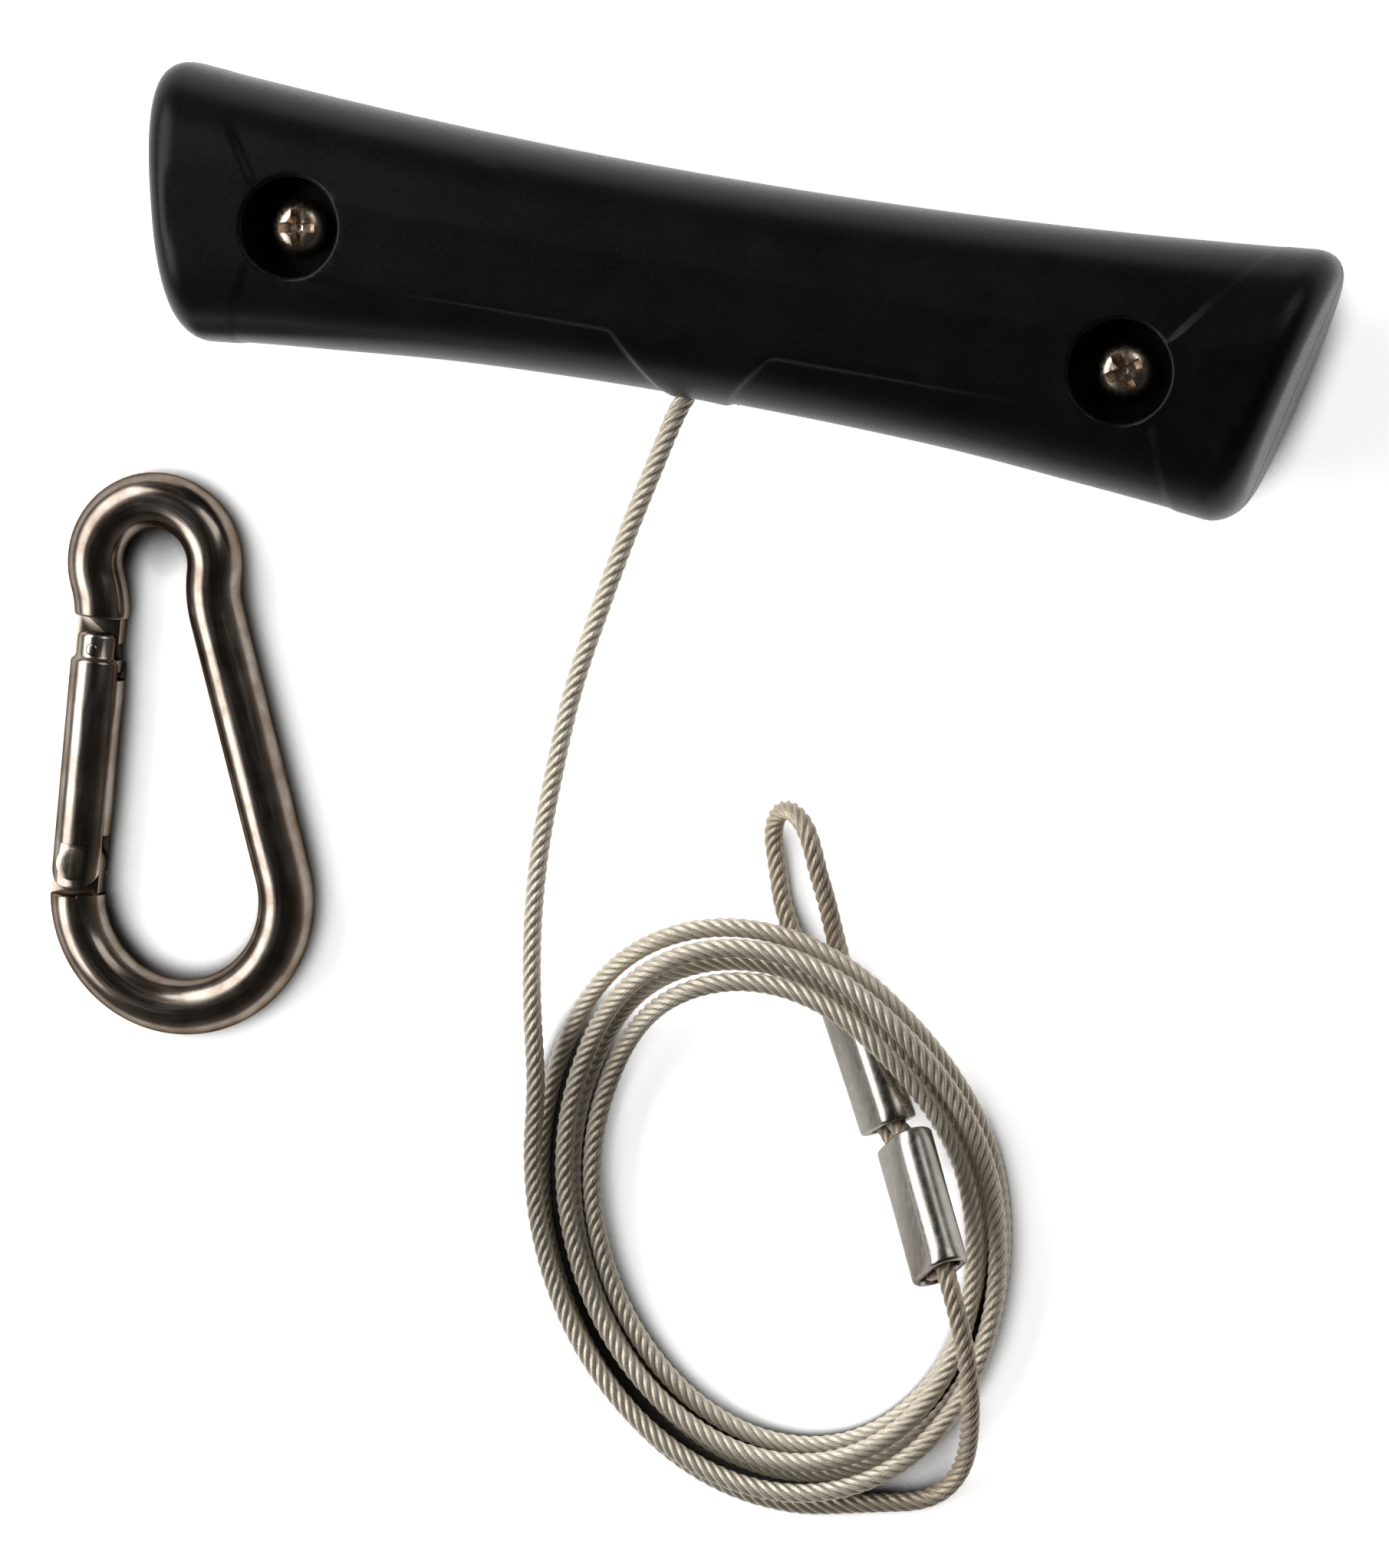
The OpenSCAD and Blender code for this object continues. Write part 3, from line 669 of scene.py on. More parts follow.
def makeScrew(s, name, node, x, turn):
    shank, core, pitch, z = s["shank"], s["core"], s["threadPitch"], -s["neck"]
    rootFrom, rootTo = s["threadRoot"]
    tipLength, tipRadius = s["tip"]
    profile = list(s["head"]) + [(shank, 0), (shank, z)]
    while z > tipLength - s["length"]:
        profile += [(core, z - rootFrom * pitch), (core, z - rootTo * pitch), (shank, z - pitch)]
        z -= pitch
    profile += [(tipRadius, -s["length"]), (0, -s["length"])]
    r = s["recess"]
    pointRadius, pointDrop = r["point"]
    top = s["head"][0][1]
    cone = turned([(0, top - r["depth"] - pointDrop), (pointRadius, top - r["depth"]),
                   (r["cone"], top + r["above"]), (0, top + r["above"])], r["around"])
    bm = carve(turned(profile, s["around"]), crossWing(s, 0), crossWing(s, math.pi / 2), cone)
    place = Matrix.Translation((x, 0, s["seat"])) @ Matrix.Rotation(math.radians(turn), 4, "Z")
    piece = makePiece(name, bm, "handle", place, sharp=32)
    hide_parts(node)
    return piece


leftScrew = makeScrew(screw, "leftScrew", "left_screw", -grip["screwX"], 10)
rightScrew = makeScrew(screw, "rightScrew", "right_screw", grip["screwX"], 35)
print("screws made")

# snap hook: bent wire body with two flat tongues, slotted gate, rivet and latch pin
hook = {
    "centre": (-58.6, -86.0, 3.5),
    "turn": 13.6,
    "wire": 7.0,
    "bigBow": 13.8,
    "smallBow": 7.9,
    "bowGap": 42.1,
    "neck": 14.0,
    "lean": 10.3,
    "pivot": (-13.1, 5.2, 0),
    "shoulders": (31.2, -4.1),
    "shoulderRound": 0.35,
    "around": 56,
    "bendStep": 0.7,
    "tongue": 2.6,
    "tongueRound": 0.15,
    "lipY": 24.4,
    "noseWidth": 5.8,
    "latchY": 27.2,
    "latchSlot": 2.0,
    "knuckle": 3.1,
    "camY": 2.6,
}
gate = {
    "profile": [(0, 29.4), (2.0, 29.4), (2.45, 29.3), (2.75, 29.05), (2.9, 28.7), (2.9, 26.35), (3.1, 26.05),
                (3.4, 25.75), (3.5, 25.5), (3.5, 15), (3.5, 2.5), (3.5, -3.5), (0, -3.5)],
    "around": 72,
    "toolReach": 6,
    "noseReach": 40,
    "forkGap": 2.9,
    "noseSlot": 23.5,
    "hingeSlot": 3.8,
    "knuckleTop": 2.5,
    "knuckleFlat": 3.0,
    "endRadius": 3.3,
    "soften": 0.1,
}
hookPlace = Matrix.Translation(hook["centre"]) @ Matrix.Rotation(math.radians(hook["turn"]), 4, "Z")
gateLocal = Matrix.Translation(hook["pivot"]) @ Matrix.Rotation(-math.radians(hook["lean"]), 4, "Z")
gatePlace = hookPlace @ gateLocal


def arcPoints(cx, cy, r, a, b):
    n = max(3, int(abs(b - a) * r / hook["bendStep"]))
    turns = [a + (b - a) * i / n for i in range(n + 1)]
    return [Vector((cx + r * math.cos(t), cy + r * math.sin(t), 0)) for t in turns]


def hookLine(h):
    # middle line of the bent wire, from the shoulder at the nose to the shoulder at the hinge
    lean, pi = math.radians(h["lean"]), math.pi
    reach = h["smallBow"] + h["neck"]
    bend = math.acos((h["bigBow"] + h["neck"] - h["bowGap"] * math.sin(lean)) / reach) - lean
    neckX, neckY = reach * math.cos(bend), h["bowGap"] - reach * math.sin(bend)
    line = arcPoints(-neckX, neckY, h["neck"], -lean, bend)
    line += arcPoints(0, h["bowGap"], h["smallBow"], pi + bend, -bend)[1:]
    line += arcPoints(neckX, neckY, h["neck"], pi - bend, pi + lean)[1:]
    line += arcPoints(0, 0, h["bigBow"], lean, -pi - lean)
    axis = Vector((math.sin(lean), math.cos(lean), 0))
    high = [(p - Vector(h["pivot"])).dot(axis) for p in line]
    first = next(i for i, y in enumerate(high) if y > h["shoulders"][0])
    last = next(i for i in range(len(line) - 1, 0, -1) if high[i] < h["shoulders"][1])

    def between(i, j, y):
        return line[i].lerp(line[j], (y - high[i]) / (high[j] - high[i]))

    ends = between(first - 1, first, h["shoulders"][0]), between(last, last + 1, h["shoulders"][1])
    return [ends[0]] + line[first:last + 1] + [ends[1]], axis


def noseOutline(h):
    # flat tongue with the slot that the latch pin locks into
    half, pinY, slot = h["noseWidth"] / 2, h["latchY"], h["latchSlot"] / 2
    out = [(-half, h["lipY"]), (half, h["lipY"])]
    for r, order in ((pinY - slot, -1), (pinY + slot, 1)):
        turns = [math.asin(half / r) * k / 6 for k in range(7)]
        edge = [(r * math.sin(a), r * math.cos(a)) for a in turns]
        if order > 0:  # round end of the slot
            turns = [math.radians(-90 - 15 * k) for k in range(1, 12)]
            out += [(slot * math.cos(a), pinY + slot * math.sin(a)) for a in turns]
        out += edge[::order]
    return out + [(half, h["shoulders"][0] + 1), (-half, h["shoulders"][0] + 1)]


def hingeOutline(h):
    # round tongue with the flat that the plunger pushes on
    r, foot = h["knuckle"], h["shoulders"][1] - 1
    turns = [math.asin(h["camY"] / r) * k / 8 for k in range(9)]
    right = [(r * math.cos(a), r * math.sin(a)) for a in turns]
    return [(-r, foot), (r, foot)] + right + [(-x, y) for x, y in reversed(right)]


def makeHookBody(h):
    line, axis = hookLine(h)
    radius = h["wire"] / 2
    bm = bmesh.new()
    uv = bm.loops.layers.uv.new("wire")
    ring, along, place, last = None, 0.0, {}, len(line) - 1
    for i, p in enumerate(line):
        way = (line[min(i + 1, last)] - line[max(i - 1, 0)]).normalized()
        side = Vector((-way.y, way.x, 0))
        points = []
        for k in range(h["around"]):
            a = 2 * math.pi * k / h["around"]
            q = p + radius * (math.cos(a) * side + math.sin(a) * Vector((0, 0, 1)))
            if i in (0, last):
                q += way * ((p - q).dot(axis) / way.dot(axis))  # end rings lie flat on the shoulder
            points.append(q)
        ring = growRing(bm, ring, points) if ring else startRing(bm, points)
        along += (p - line[i - 1]).length if i else 0
        for k, v in enumerate(ring):
            place[v] = (math.pi * h["wire"] * k / h["around"], along)
        if i == 0:
            bmesh.ops.contextual_create(bm, geom=ring)
    bmesh.ops.contextual_create(bm, geom=ring)
    bmesh.ops.recalc_face_normals(bm, faces=bm.faces[:])
    mapRings(bm, uv, place, math.pi * h["wire"])
    softenEdges(bm, h["shoulderRound"], 3)
    for outline in (noseOutline(h), hingeOutline(h)):
        tongue = plate(outline, -h["tongue"] / 2, h["tongue"] / 2)
        softenEdges(tongue, h["tongueRound"])
        addShape(bm, tongue, gateLocal)
    piece = makePiece("hookBody", bm, "snap_hook", hookPlace, sharp=35)
    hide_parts("hook_body")
    return piece


def makeGate(g):
    # rod along the gate, slotted at both ends and flattened at the knuckle
    bm = turned(g["profile"], g["around"])
    bmesh.ops.rotate(bm, cent=(0, 0, 0), matrix=Matrix.Rotation(-math.pi / 2, 3, "X"), verts=bm.verts[:])
    slot, flat, r, w = g["forkGap"] / 2, g["knuckleFlat"], g["endRadius"], g["toolReach"]
    turns = [math.radians(-6 * k) for k in range(31)]
    foot = [(-w, -w - 1), (w, -w - 1), (w, 0)] + [(r * math.cos(a), r * math.sin(a)) for a in turns] + [(-w, 0)]
    bm = carve(
        bm,
        plate(foot, -w, w),
        block((-w, -w, flat), (w, g["knuckleTop"], w)),
        block((-w, -w, -w), (w, g["knuckleTop"], -flat)),
        block((-w, -w, -slot), (w, g["hingeSlot"], slot)),
        block((-w, g["noseSlot"], -slot), (w, g["noseReach"], slot)),
    )
    softenEdges(bm, g["soften"])
    piece = makePiece("hookGate", bm, "gate", gatePlace, sharp=35)
    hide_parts("hook_gate")
    return piece


# half profiles of the two pins across the gate, from the end of each to its shank
pins = {
    "rivet": [(0, 3.24), (1.2, 3.22), (1.8, 3.15), (2.1, 3.06), (1.25, 3.05)],
    "latch": [(0, 3.1), (0.55, 3.08), (0.72, 3.0), (0.8, 2.85)],
    "around": 40,
}


def makePin(name, node, body, profile, y):
    bm = turned(profile + [(r, -z) for r, z in reversed(profile)], pins["around"])
    place = gatePlace @ Matrix.Translation((0, y, 0))
    piece = makePiece(name, bm, body, place, sharp=40)
    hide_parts(node)
    return piece


hookBody = makeHookBody(hook)
hookGate = makeGate(gate)
gateRivet = makePin("gateRivet", "gate_rivet", "snap_hook", pins["rivet"], 0)
latchPin = makePin("latchPin", "latch_pin", "gate", pins["latch"], hook["latchY"])

# compression spring in the gate's bore, made at one length; the real spring shortens as the plunger is pushed
# in
spring = {
    "radius": 1.25,
    "wire": 0.5,
    "turns": 7,
    "low": 7.1,
    "high": 15.75,
    "travel": 0.75,
    "around": 12,
    "stepsPerTurn": 20,
}


def makeSpring(s):
    count, rings = s["turns"] * s["stepsPerTurn"], []
    turns = [2 * math.pi * k / s["around"] for k in range(s["around"])]
    for i in range(count + 1):
        a = 2 * math.pi * i / s["stepsPerTurn"]
        out = Vector((math.cos(a), 0, -math.sin(a)))
        middle = s["radius"] * out + Vector((0, s["low"] + (s["high"] - s["low"]) * i / count, 0))
        ring = [math.cos(b) * out + Vector((0, math.sin(b), 0)) for b in turns]
        rings.append([middle + s["wire"] / 2 * way for way in ring])
    piece = makePiece("gateSpring", loftRings(rings), "gate", gatePlace, sharp=60)
    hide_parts("gate_spring")
    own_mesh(piece)
    return piece


gateSpring = makeSpring(spring)
print("snap hook made")


# finishes: shared effects first
def newGroup(name, inputs, outputs):
    tree = bpy.data.node_groups.new(name, "ShaderNodeTree")
    for label, kind, value in inputs:
        socket = tree.interface.new_socket(name=label, in_out="INPUT", socket_type="NodeSocket" + kind)
        if value is not None:
            socket.default_value = value
    for label, kind in outputs:
        tree.interface.new_socket(name=label, in_out="OUTPUT", socket_type="NodeSocket" + kind)
    return tree, tree.nodes.new("NodeGroupInput").outputs, tree.nodes.new("NodeGroupOutput").inputs


def addNode(tree, kind, values=None, **settings):
    # values go on the node's sockets: a socket of another node is linked, a number is set
    n = tree.nodes.new("ShaderNode" + kind)
    for key, value in settings.items():
        setattr(n, key, value)
    for key, value in (values or {}).items():
        if isinstance(value, bpy.types.NodeSocket):
            tree.links.new(value, n.inputs[key])
        else:
            n.inputs[key].default_value = value
    return n


def mathNode(tree, operation, a, b=0.0):
    return addNode(tree, "Math", {0: a, 1: b}, operation=operation).outputs[0]


def rangeNode(tree, value, low, high, toLow=0.0, toHigh=1.0):
    values = {0: value, 1: low, 2: high, 3: toLow, 4: toHigh}
    return addNode(tree, "MapRange", values, interpolation_type="SMOOTHSTEP").outputs[0]


def noiseNode(tree, vector, look, **more):
    return addNode(tree, "TexNoise", {"Vector": vector, **look, **more}).outputs[0]


def mixColour(tree, factor, a, b):
    a, b = (c if isinstance(c, bpy.types.NodeSocket) else (*c, 1) for c in (a, b))
    return addNode(tree, "Mix", {0: factor, 6: a, 7: b}, data_type="RGBA").outputs[2]


effectLook = {
    "fine": {"Detail": 3.0, "Roughness": 0.6},
    "cloud": {"Detail": 4.0},
    "cloudScale": 0.03,
    "cloudSpread": (0.3, 0.7),
    "rub": {"Scale": 420.0, "Detail": 4.0},
    "rubSpread": (0.35, 0.65),
    "dust": {"Scale": 130.0, "Detail": 6.0, "Roughness": 0.7},
    "dustSpread": (0.42, 0.75),
    "dustSlope": (0.2, 1.0),
    "marks": {"Detail": 5.0, "Roughness": 0.65},
    "stain": {"Detail": 3.0},
    "stainScale": 0.12,
    "stainSpread": (0.35, 0.7),
}


def grainGroup(e):
    # fine grain and slow clouds on the same coordinates
    tree, given, result = newGroup("surfaceGrain", [("Vector", "Vector", None), ("Scale", "Float", 1000.0)],
                                   [("Grain", "Float"), ("Cloud", "Float")])
    fine = noiseNode(tree, given["Vector"], e["fine"], Scale=given["Scale"])
    slowScale = mathNode(tree, "MULTIPLY", given["Scale"], e["cloudScale"])
    slow = noiseNode(tree, given["Vector"], e["cloud"], Scale=slowScale)
    tree.links.new(fine, result["Grain"])
    tree.links.new(rangeNode(tree, slow, *e["cloudSpread"]), result["Cloud"])
    return tree


def rubGroup(e):
    # bright rub along convex edges, broken up by noise
    inputs = [("Vector", "Vector", None), ("Start", "Float", 0.53), ("Full", "Float", 0.62)]
    tree, given, result = newGroup("edgeRub", inputs, [("Mask", "Float")])
    point = addNode(tree, "NewGeometry").outputs["Pointiness"]
    edge = addNode(tree, "MapRange", {0: point, 1: given["Start"], 2: given["Full"]}).outputs[0]
    broken = rangeNode(tree, noiseNode(tree, given["Vector"], e["rub"]), *e["rubSpread"])
    tree.links.new(mathNode(tree, "MULTIPLY", edge, broken), result["Mask"])
    return tree


def dustGroup(e):
    # thin film on faces that look up
    tree, given, result = newGroup("dustFilm", [("Vector", "Vector", None), ("Amount", "Float", 0.2)],
                                   [("Mask", "Float")])
    normal = addNode(tree, "NewGeometry").outputs["Normal"]
    up = rangeNode(tree, addNode(tree, "SeparateXYZ", {0: normal}).outputs[2], *e["dustSlope"])
    broken = rangeNode(tree, noiseNode(tree, given["Vector"], e["dust"]), *e["dustSpread"])
    film = mathNode(tree, "MULTIPLY", up, broken)
    tree.links.new(mathNode(tree, "MULTIPLY", film, given["Amount"]), result["Mask"])
    return tree


def marksGroup(e):
    # polishing marks: noise drawn out along one axis of the coordinates, and stains
    inputs = [("Vector", "Vector", None), ("Stretch", "Vector", (1.0, 1.0, 1.0)), ("Scale", "Float", 500.0)]
    tree, given, result = newGroup("polishMarks", inputs, [("Marks", "Float"), ("Stain", "Float")])
    ends = {0: given["Vector"], 1: given["Stretch"]}
    drawn = addNode(tree, "VectorMath", ends, operation="MULTIPLY").outputs[0]
    marks = noiseNode(tree, drawn, e["marks"], Scale=given["Scale"])
    stainScale = mathNode(tree, "MULTIPLY", given["Scale"], e["stainScale"])
    stain = noiseNode(tree, given["Vector"], e["stain"], Scale=stainScale)
    tree.links.new(marks, result["Marks"])
    tree.links.new(rangeNode(tree, stain, *e["stainSpread"]), result["Stain"])
    return tree


effects = {
    "grain": grainGroup(effectLook),
    "rub": rubGroup(effectLook),
    "dust": dustGroup(effectLook),
    "marks": marksGroup(effectLook),
}


def useEffect(tree, name, values):
    return addNode(tree, "Group", values, node_tree=effects[name]).outputs


def useRub(tree, coords, edges):
    return useEffect(tree, "rub", {"Vector": coords, "Start": edges[0], "Full": edges[1]})["Mask"]


def useDust(tree, coords, amount):
    return useEffect(tree, "dust", {"Vector": coords, "Amount": amount})["Mask"]


def newFinish(name, metallic):
    mat = bpy.data.materials.new(name)
    mat.use_nodes = True
    tree = mat.node_tree
    shader = tree.nodes["Principled BSDF"]
    shader.inputs["Metallic"].default_value = metallic
    coords = addNode(tree, "TexCoord").outputs["Object"]
    return mat, tree, shader, coords


def addBump(tree, shader, height, strength, distance):
    bump = addNode(tree, "Bump", {"Strength": strength, "Distance": distance, "Height": height})
    tree.links.new(bump.outputs[0], shader.inputs["Normal"])


gripFinish = {
    "black": (0.0022, 0.0020, 0.0019),
    "faded": (0.0040, 0.0037, 0.0034),
    "rubbed": (0.009, 0.0085, 0.008),
    "dust": (0.09, 0.082, 0.075),
    "dustAmount": 0.03,
    "edges": (0.54, 0.64),
    "grainScale": 3200.0,
    "grainSpread": (0.3, 0.7),
    "rough": (0.27, 0.38),
    "gloss": 0.13,
    "bump": (0.16, 0.00006),
}


def makeGripFinish(s):
    mat, tree, shader, coords = newFinish("gripPlastic", 0)
    grain = useEffect(tree, "grain", {"Vector": coords, "Scale": s["grainScale"]})
    colour = mixColour(tree, grain["Cloud"], s["black"], s["faded"])
    colour = mixColour(tree, useRub(tree, coords, s["edges"]), colour, s["rubbed"])
    colour = mixColour(tree, useDust(tree, coords, s["dustAmount"]), colour, s["dust"])
    tree.links.new(colour, shader.inputs["Base Color"])
    rough = rangeNode(tree, grain["Grain"], *s["grainSpread"], *s["rough"])
    tree.links.new(rough, shader.inputs["Roughness"])
    shader.inputs["Specular IOR Level"].default_value = s["gloss"]
    addBump(tree, shader, grain["Grain"], *s["bump"])
    return mat


ropeFinish = {
    # painted shade on the strands: flanks darker than crowns, grooves near black
    "crown": (0.82, 0.765, 0.645),
    "flank": (0.70, 0.635, 0.515),
    "groove": (0.20, 0.17, 0.13),
    "brown": (0.36, 0.28, 0.20),
    # a darker patch on one side of the coil: its colour, centre, reach and share
    "darkPatch": (0.12, 0.098, 0.075),
    "darkPatchPlace": (0.001, -0.108, 0.003),
    "darkPatchReach": (0.010, 0.026),
    "darkPatchShare": (0.45, 0.3),  # even, cloudy
    "metallic": 0.5,
    "crownShift": 0.1,
    "flankSpread": (0.15, 0.8),
    "grooveSpread": (0.82, 1.0),
    "wiresPerStrand": 5.0,
    "wireSlant": 0.42,
    "wireSpread": (-1.0, 0.3),
    "wireShare": 0.32,
    "brownShare": 0.3,
    # painted shade from here along the rope, over the tail and the eye
    "tailShadeFrom": (915.0, 950.0),
    "tailShadeShare": 0.62,
    "dullScale": 700.0,
    "grainScale": 1800.0,
    "grainSpread": (0.3, 0.7),
    "rough": (0.36, 0.52),
    "grooveDepth": 0.5,
    "bump": (0.5, 0.00008),
}


def makeRopeFinish(s):
    mat, tree, shader, coords = newFinish("ropeWire", s["metallic"])

    def times(a, b):
        return mathNode(tree, "MULTIPLY", a, b)

    lay = addNode(tree, "UVMap", uv_map="lay").outputs[0]
    around, along, _ = addNode(tree, "SeparateXYZ", {0: lay}).outputs
    # 0 on the crown of a strand, 1 in the groove between two
    across = mathNode(tree, "FRACT", mathNode(tree, "ADD", around, s["crownShift"]))
    groove = times(mathNode(tree, "ABSOLUTE", mathNode(tree, "SUBTRACT", across, 0.5)), 2.0)
    turn = mathNode(tree, "ADD", around, times(along, s["wireSlant"]))
    wires = mathNode(tree, "SINE", times(turn, s["wiresPerStrand"] * 2 * math.pi))
    wire = rangeNode(tree, wires, *s["wireSpread"])
    grain = useEffect(tree, "grain", {"Vector": coords, "Scale": s["grainScale"]})
    dull = useEffect(tree, "grain", {"Vector": coords, "Scale": s["dullScale"]})
    # painted shade: flanks are drawn darker than crowns, and the gaps between wires and the grooves between
    # strands darker still; the brown between is random tone
    colour = mixColour(tree, rangeNode(tree, groove, *s["flankSpread"]), s["crown"], s["flank"])
    colour = mixColour(tree, times(dull["Cloud"], s["brownShare"]), colour, s["brown"])
    wireGapShade = mathNode(tree, "SUBTRACT", 1.0, wire)
    colour = mixColour(tree, times(wireGapShade, s["wireShare"]), colour, s["groove"])
    colour = mixColour(tree, rangeNode(tree, groove, *s["grooveSpread"]), colour, s["groove"])
    # painted shade: the tail and the eye are drawn darker and browner than the coil, from a ramp along the rope
    tailShade = rangeNode(tree, along, *s["tailShadeFrom"])
    colour = mixColour(tree, times(tailShade, s["tailShadeShare"]), colour, s["brown"])
    # one side of the coil is drawn darker: a dark patch round one point, partly even and partly cloudy
    ends = {0: coords, 1: s["darkPatchPlace"]}
    away = addNode(tree, "VectorMath", ends, operation="DISTANCE").outputs["Value"]
    darkPatchMask = mathNode(tree, "SUBTRACT", 1.0, rangeNode(tree, away, *s["darkPatchReach"]))
    even, cloudy = s["darkPatchShare"]
    darkPatchMask = times(darkPatchMask, mathNode(tree, "ADD", even, times(dull["Cloud"], cloudy)))
    colour = mixColour(tree, darkPatchMask, colour, s["darkPatch"])
    tree.links.new(colour, shader.inputs["Base Color"])
    rough = rangeNode(tree, grain["Grain"], *s["grainSpread"], *s["rough"])
    tree.links.new(rough, shader.inputs["Roughness"])
    addBump(tree, shader, mathNode(tree, "SUBTRACT", wire, times(groove, s["grooveDepth"])), *s["bump"])
    return mat


# what all the metals share
metalLook = {
    "dust": (0.3, 0.27, 0.23),
    "edges": (0.55, 0.66),
    "markSpread": (0.55, 0.75),
    "markShare": 0.35,
    "roughSpread": (0.3, 0.7),
    "bumpDepth": 0.00004,
}


def makeMetal(name, s, uvName=None):
    mat, tree, shader, coords = newFinish(name, 1)
    m = metalLook
    drawn = addNode(tree, "UVMap", uv_map=uvName).outputs[0] if uvName else coords
    marks = useEffect(tree, "marks", {"Vector": drawn, "Stretch": s["stretch"], "Scale": s["scale"]})
    marked = rangeNode(tree, marks["Marks"], *m["markSpread"])
    colour = mixColour(tree, marks["Stain"], s["clean"], s["stained"])
    colour = mixColour(tree, mathNode(tree, "MULTIPLY", marked, m["markShare"]), colour, s["stained"])
    colour = mixColour(tree, useRub(tree, coords, m["edges"]), colour, s["rubbed"])
    colour = mixColour(tree, useDust(tree, coords, s["dust"]), colour, m["dust"])
    tree.links.new(colour, shader.inputs["Base Color"])
    shader.inputs["Specular Tint"].default_value = (*s["edge"], 1)
    rough = rangeNode(tree, marks["Marks"], *m["roughSpread"], *s["rough"])
    tree.links.new(rough, shader.inputs["Roughness"])
    addBump(tree, shader, marks["Marks"], s["bump"], m["bumpDepth"])
    return mat


metals = {
    "hook": {
        "clean": (0.26, 0.226, 0.197), "stained": (0.17, 0.132, 0.104), "rubbed": (0.34, 0.31, 0.28),
        "edge": (0.24, 0.215, 0.19), "rough": (0.17, 0.28), "stretch": (1.0, 0.06, 1.0), "scale": 2.2,
        "bump": 0.06, "dust": 0.04,
    },
    "rod": {
        "clean": (0.32, 0.285, 0.255), "stained": (0.20, 0.164, 0.136), "rubbed": (0.42, 0.38, 0.34),
        "edge": (0.24, 0.215, 0.19), "rough": (0.17, 0.28), "stretch": (1.0, 0.12, 1.0), "scale": 1600.0,
        "bump": 0.05, "dust": 0.04,
    },
    "ferrule": {
        "clean": (0.34, 0.325, 0.30), "stained": (0.27, 0.25, 0.225), "rubbed": (0.60, 0.585, 0.56),
        "edge": (0.7, 0.68, 0.65), "rough": (0.22, 0.32), "stretch": (1.0, 0.4, 1.0), "scale": 1500.0,
        "bump": 0.05, "dust": 0.04,
    },
    "screw": {
        "clean": (0.74, 0.63, 0.51), "stained": (0.42, 0.335, 0.26), "rubbed": (0.90, 0.85, 0.77),
        "edge": (0.8, 0.76, 0.7), "rough": (0.20, 0.38), "stretch": (1.0, 1.0, 0.3), "scale": 1300.0,
        "bump": 0.1, "dust": 0.1,
    },
}

gripMat = makeGripFinish(gripFinish)
ropeMat = makeRopeFinish(ropeFinish)
hookMat = makeMetal("hookPlate", metals["hook"], "wire")
rodMat = makeMetal("gatePlate", metals["rod"])
ferruleMat = makeMetal("ferruleAluminium", metals["ferrule"])
screwMat = makeMetal("screwPlate", metals["screw"])

dressed = [
    (gripMat, [frontShell, rearShell]),
    (ropeMat, [wireRope]),
    (ferruleMat, [lowerFerrule, upperFerrule, nodes["stop_sleeve"]]),
    (hookMat, [hookBody]),
    (rodMat, [hookGate, gateRivet, latchPin]),
    (screwMat, [leftScrew, rightScrew, gateSpring, nodes["stop_washer"], nodes["spring_plunger"]]),
]
for mat, pieces in dressed:
    for piece in pieces:
        piece.data.materials.clear()
        piece.data.materials.append(mat)
print("finishes set")

# floor and light: one wide softbox on the left, a small fill behind, dark above
studio = {
    "floorColour": (0.86, 0.86, 0.86),
    "floorRough": 0.9,
    "floorHalf": 6,
    "floorDrop": 0.0002,
    "floorLift": 0.78,
    "gapColour": (0.03, 0.026, 0.022),
    "gapReach": 0.007,
    "gapShade": (0.38, 0.76),
    "gapSamples": 12,
    "key": {"place": (-0.70, 0.02, 0.54), "size": (1.4, 0.52), "power": 12},
    "fill": {"place": (0.55, 0.75, 0.75), "size": (0.6, 0.6), "power": 2.5},
    "aim": (0, -0.06, 0),
    "sky": [(0.0, 0.28), (0.25, 0.17), (0.6, 0.04), (1.0, 0.025)],
    "skyTint": (1.0, 0.93, 0.86),
}


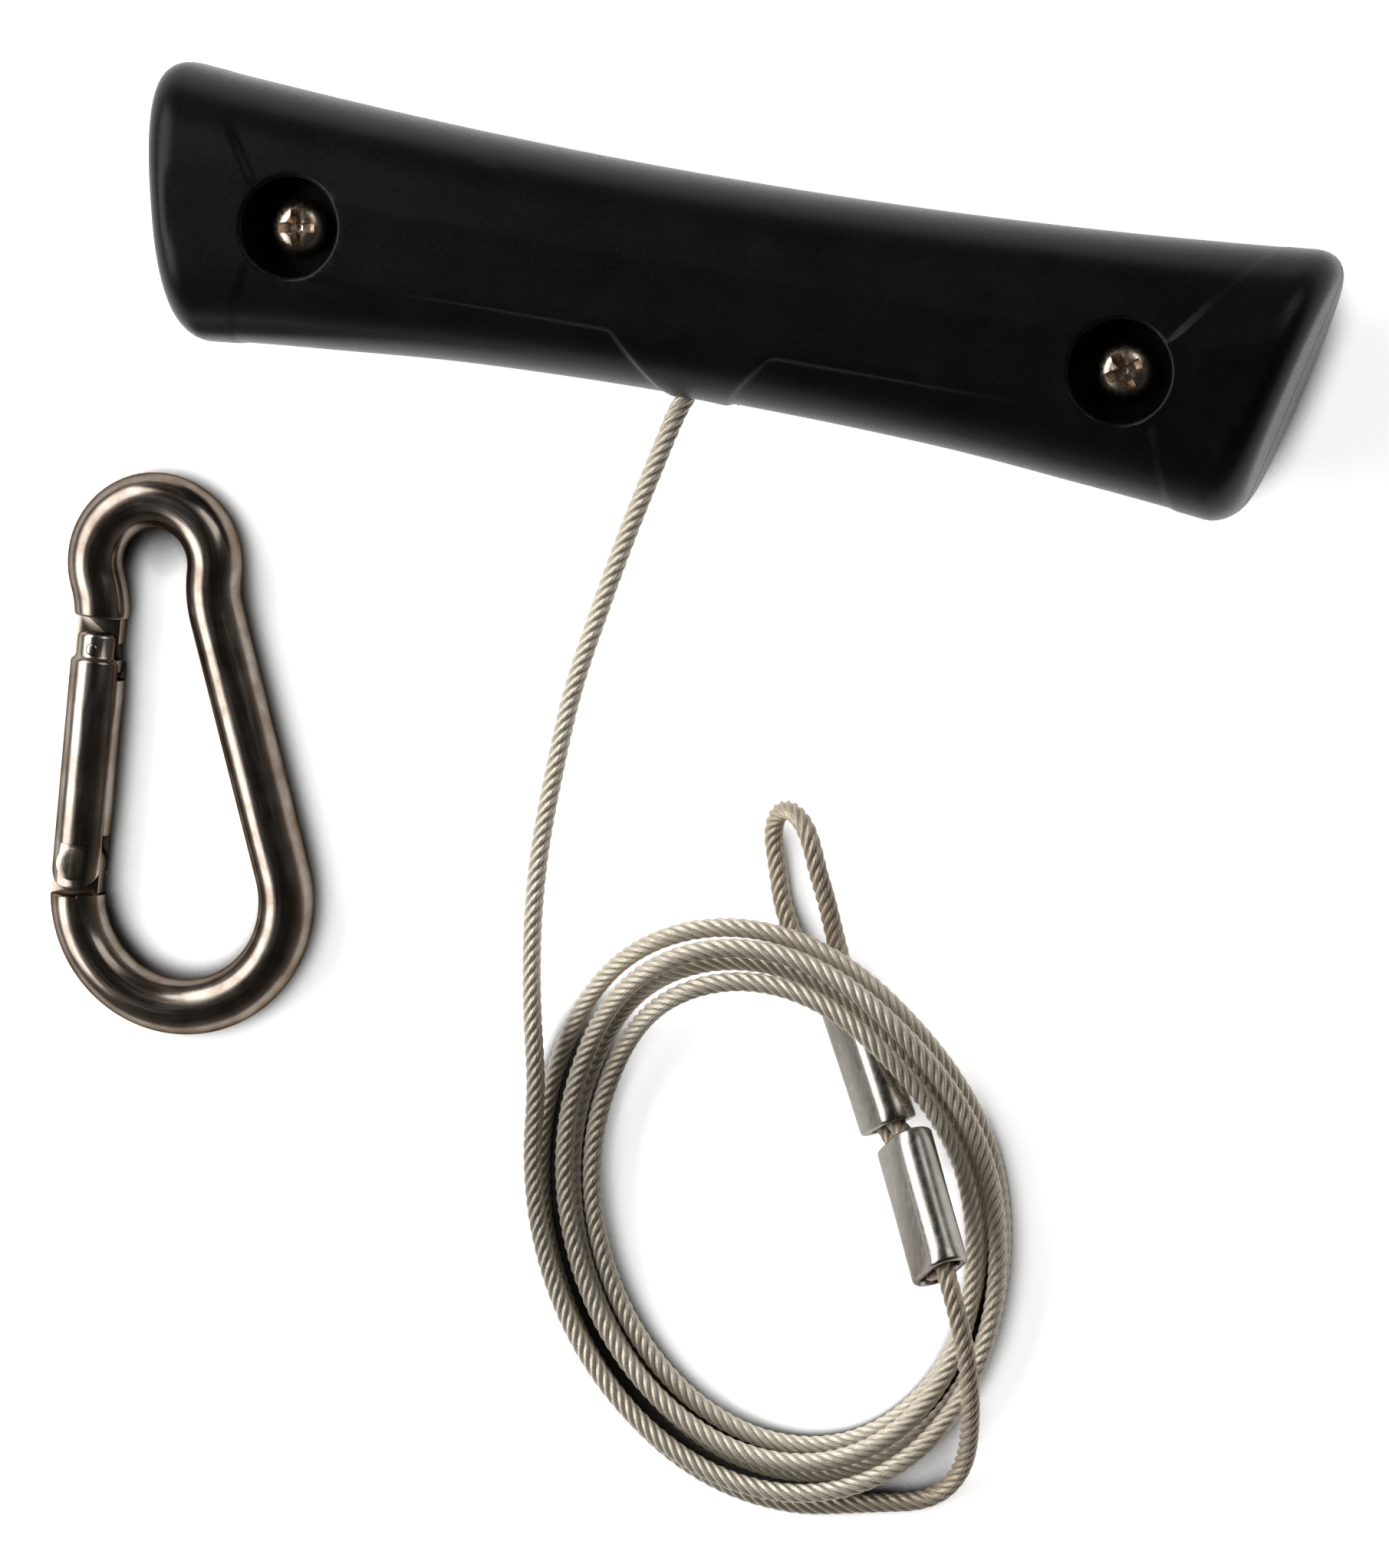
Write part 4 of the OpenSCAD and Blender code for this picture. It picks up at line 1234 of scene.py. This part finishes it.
def makeFloor(s):
    bm = bmesh.new()
    bmesh.ops.create_grid(bm, x_segments=1, y_segments=1, size=s["floorHalf"])
    mesh = bpy.data.meshes.new("floor")
    bm.to_mesh(mesh)
    bm.free()
    floor = bpy.data.objects.new("floor", mesh)
    scene.collection.objects.link(floor)
    floor.location.z = -s["floorDrop"]
    mat, tree, shader, _ = newFinish("paleFloor", 0)
    shader.inputs["Roughness"].default_value = s["floorRough"]
    shader.inputs["Emission Color"].default_value = (1, 1, 1, 1)
    # the lift shows to the camera and in reflections, and lights nothing
    path = addNode(tree, "LightPath").outputs
    mirrored = mathNode(tree, "MAXIMUM", path["Is Glossy Ray"], path["Is Transmission Ray"])
    seen = mathNode(tree, "MAXIMUM", path["Is Camera Ray"], mirrored)
    # contact shade: narrow gaps between pieces lose the lift and go dark
    reach = {"Distance": s["gapReach"]}
    openSky = addNode(tree, "AmbientOcclusion", reach, samples=s["gapSamples"]).outputs["AO"]
    clear = rangeNode(tree, openSky, *s["gapShade"])
    tree.links.new(mixColour(tree, clear, s["gapColour"], s["floorColour"]), shader.inputs["Base Color"])
    lift = mathNode(tree, "MULTIPLY", clear, s["floorLift"])
    tree.links.new(mathNode(tree, "MULTIPLY", seen, lift), shader.inputs["Emission Strength"])
    mesh.materials.append(mat)


def makeLamp(name, s, target):
    data = bpy.data.lights.new(name, "AREA")
    data.shape = "RECTANGLE"
    data.size, data.size_y = s["size"]
    data.energy = s["power"]
    lamp = bpy.data.objects.new(name, data)
    scene.collection.objects.link(lamp)
    lamp.location = s["place"]
    aim = Vector(target) - Vector(s["place"])
    lamp.rotation_mode = "QUATERNION"
    lamp.rotation_quaternion = aim.to_track_quat("-Z", "Y")


def makeWorld(s):
    world = bpy.data.worlds.new("studio")
    scene.world = world
    world.use_nodes = True
    tree = world.node_tree
    way = addNode(tree, "TexCoord").outputs["Generated"]
    height = addNode(tree, "SeparateXYZ", {0: way}).outputs[2]
    ramp = addNode(tree, "ValToRGB", {0: height})
    stops = ramp.color_ramp.elements
    while len(stops) < len(s["sky"]):
        stops.new(0.5)
    for stop, (place, value) in zip(stops, s["sky"]):
        stop.position = place
        stop.color = (*(value * c for c in s["skyTint"]), 1)
    tree.links.new(ramp.outputs[0], tree.nodes["Background"].inputs["Color"])


makeFloor(studio)
makeLamp("keySoftbox", studio["key"], studio["aim"])
makeLamp("fillSoftbox", studio["fill"], studio["aim"])
makeWorld(studio)
print("studio set")
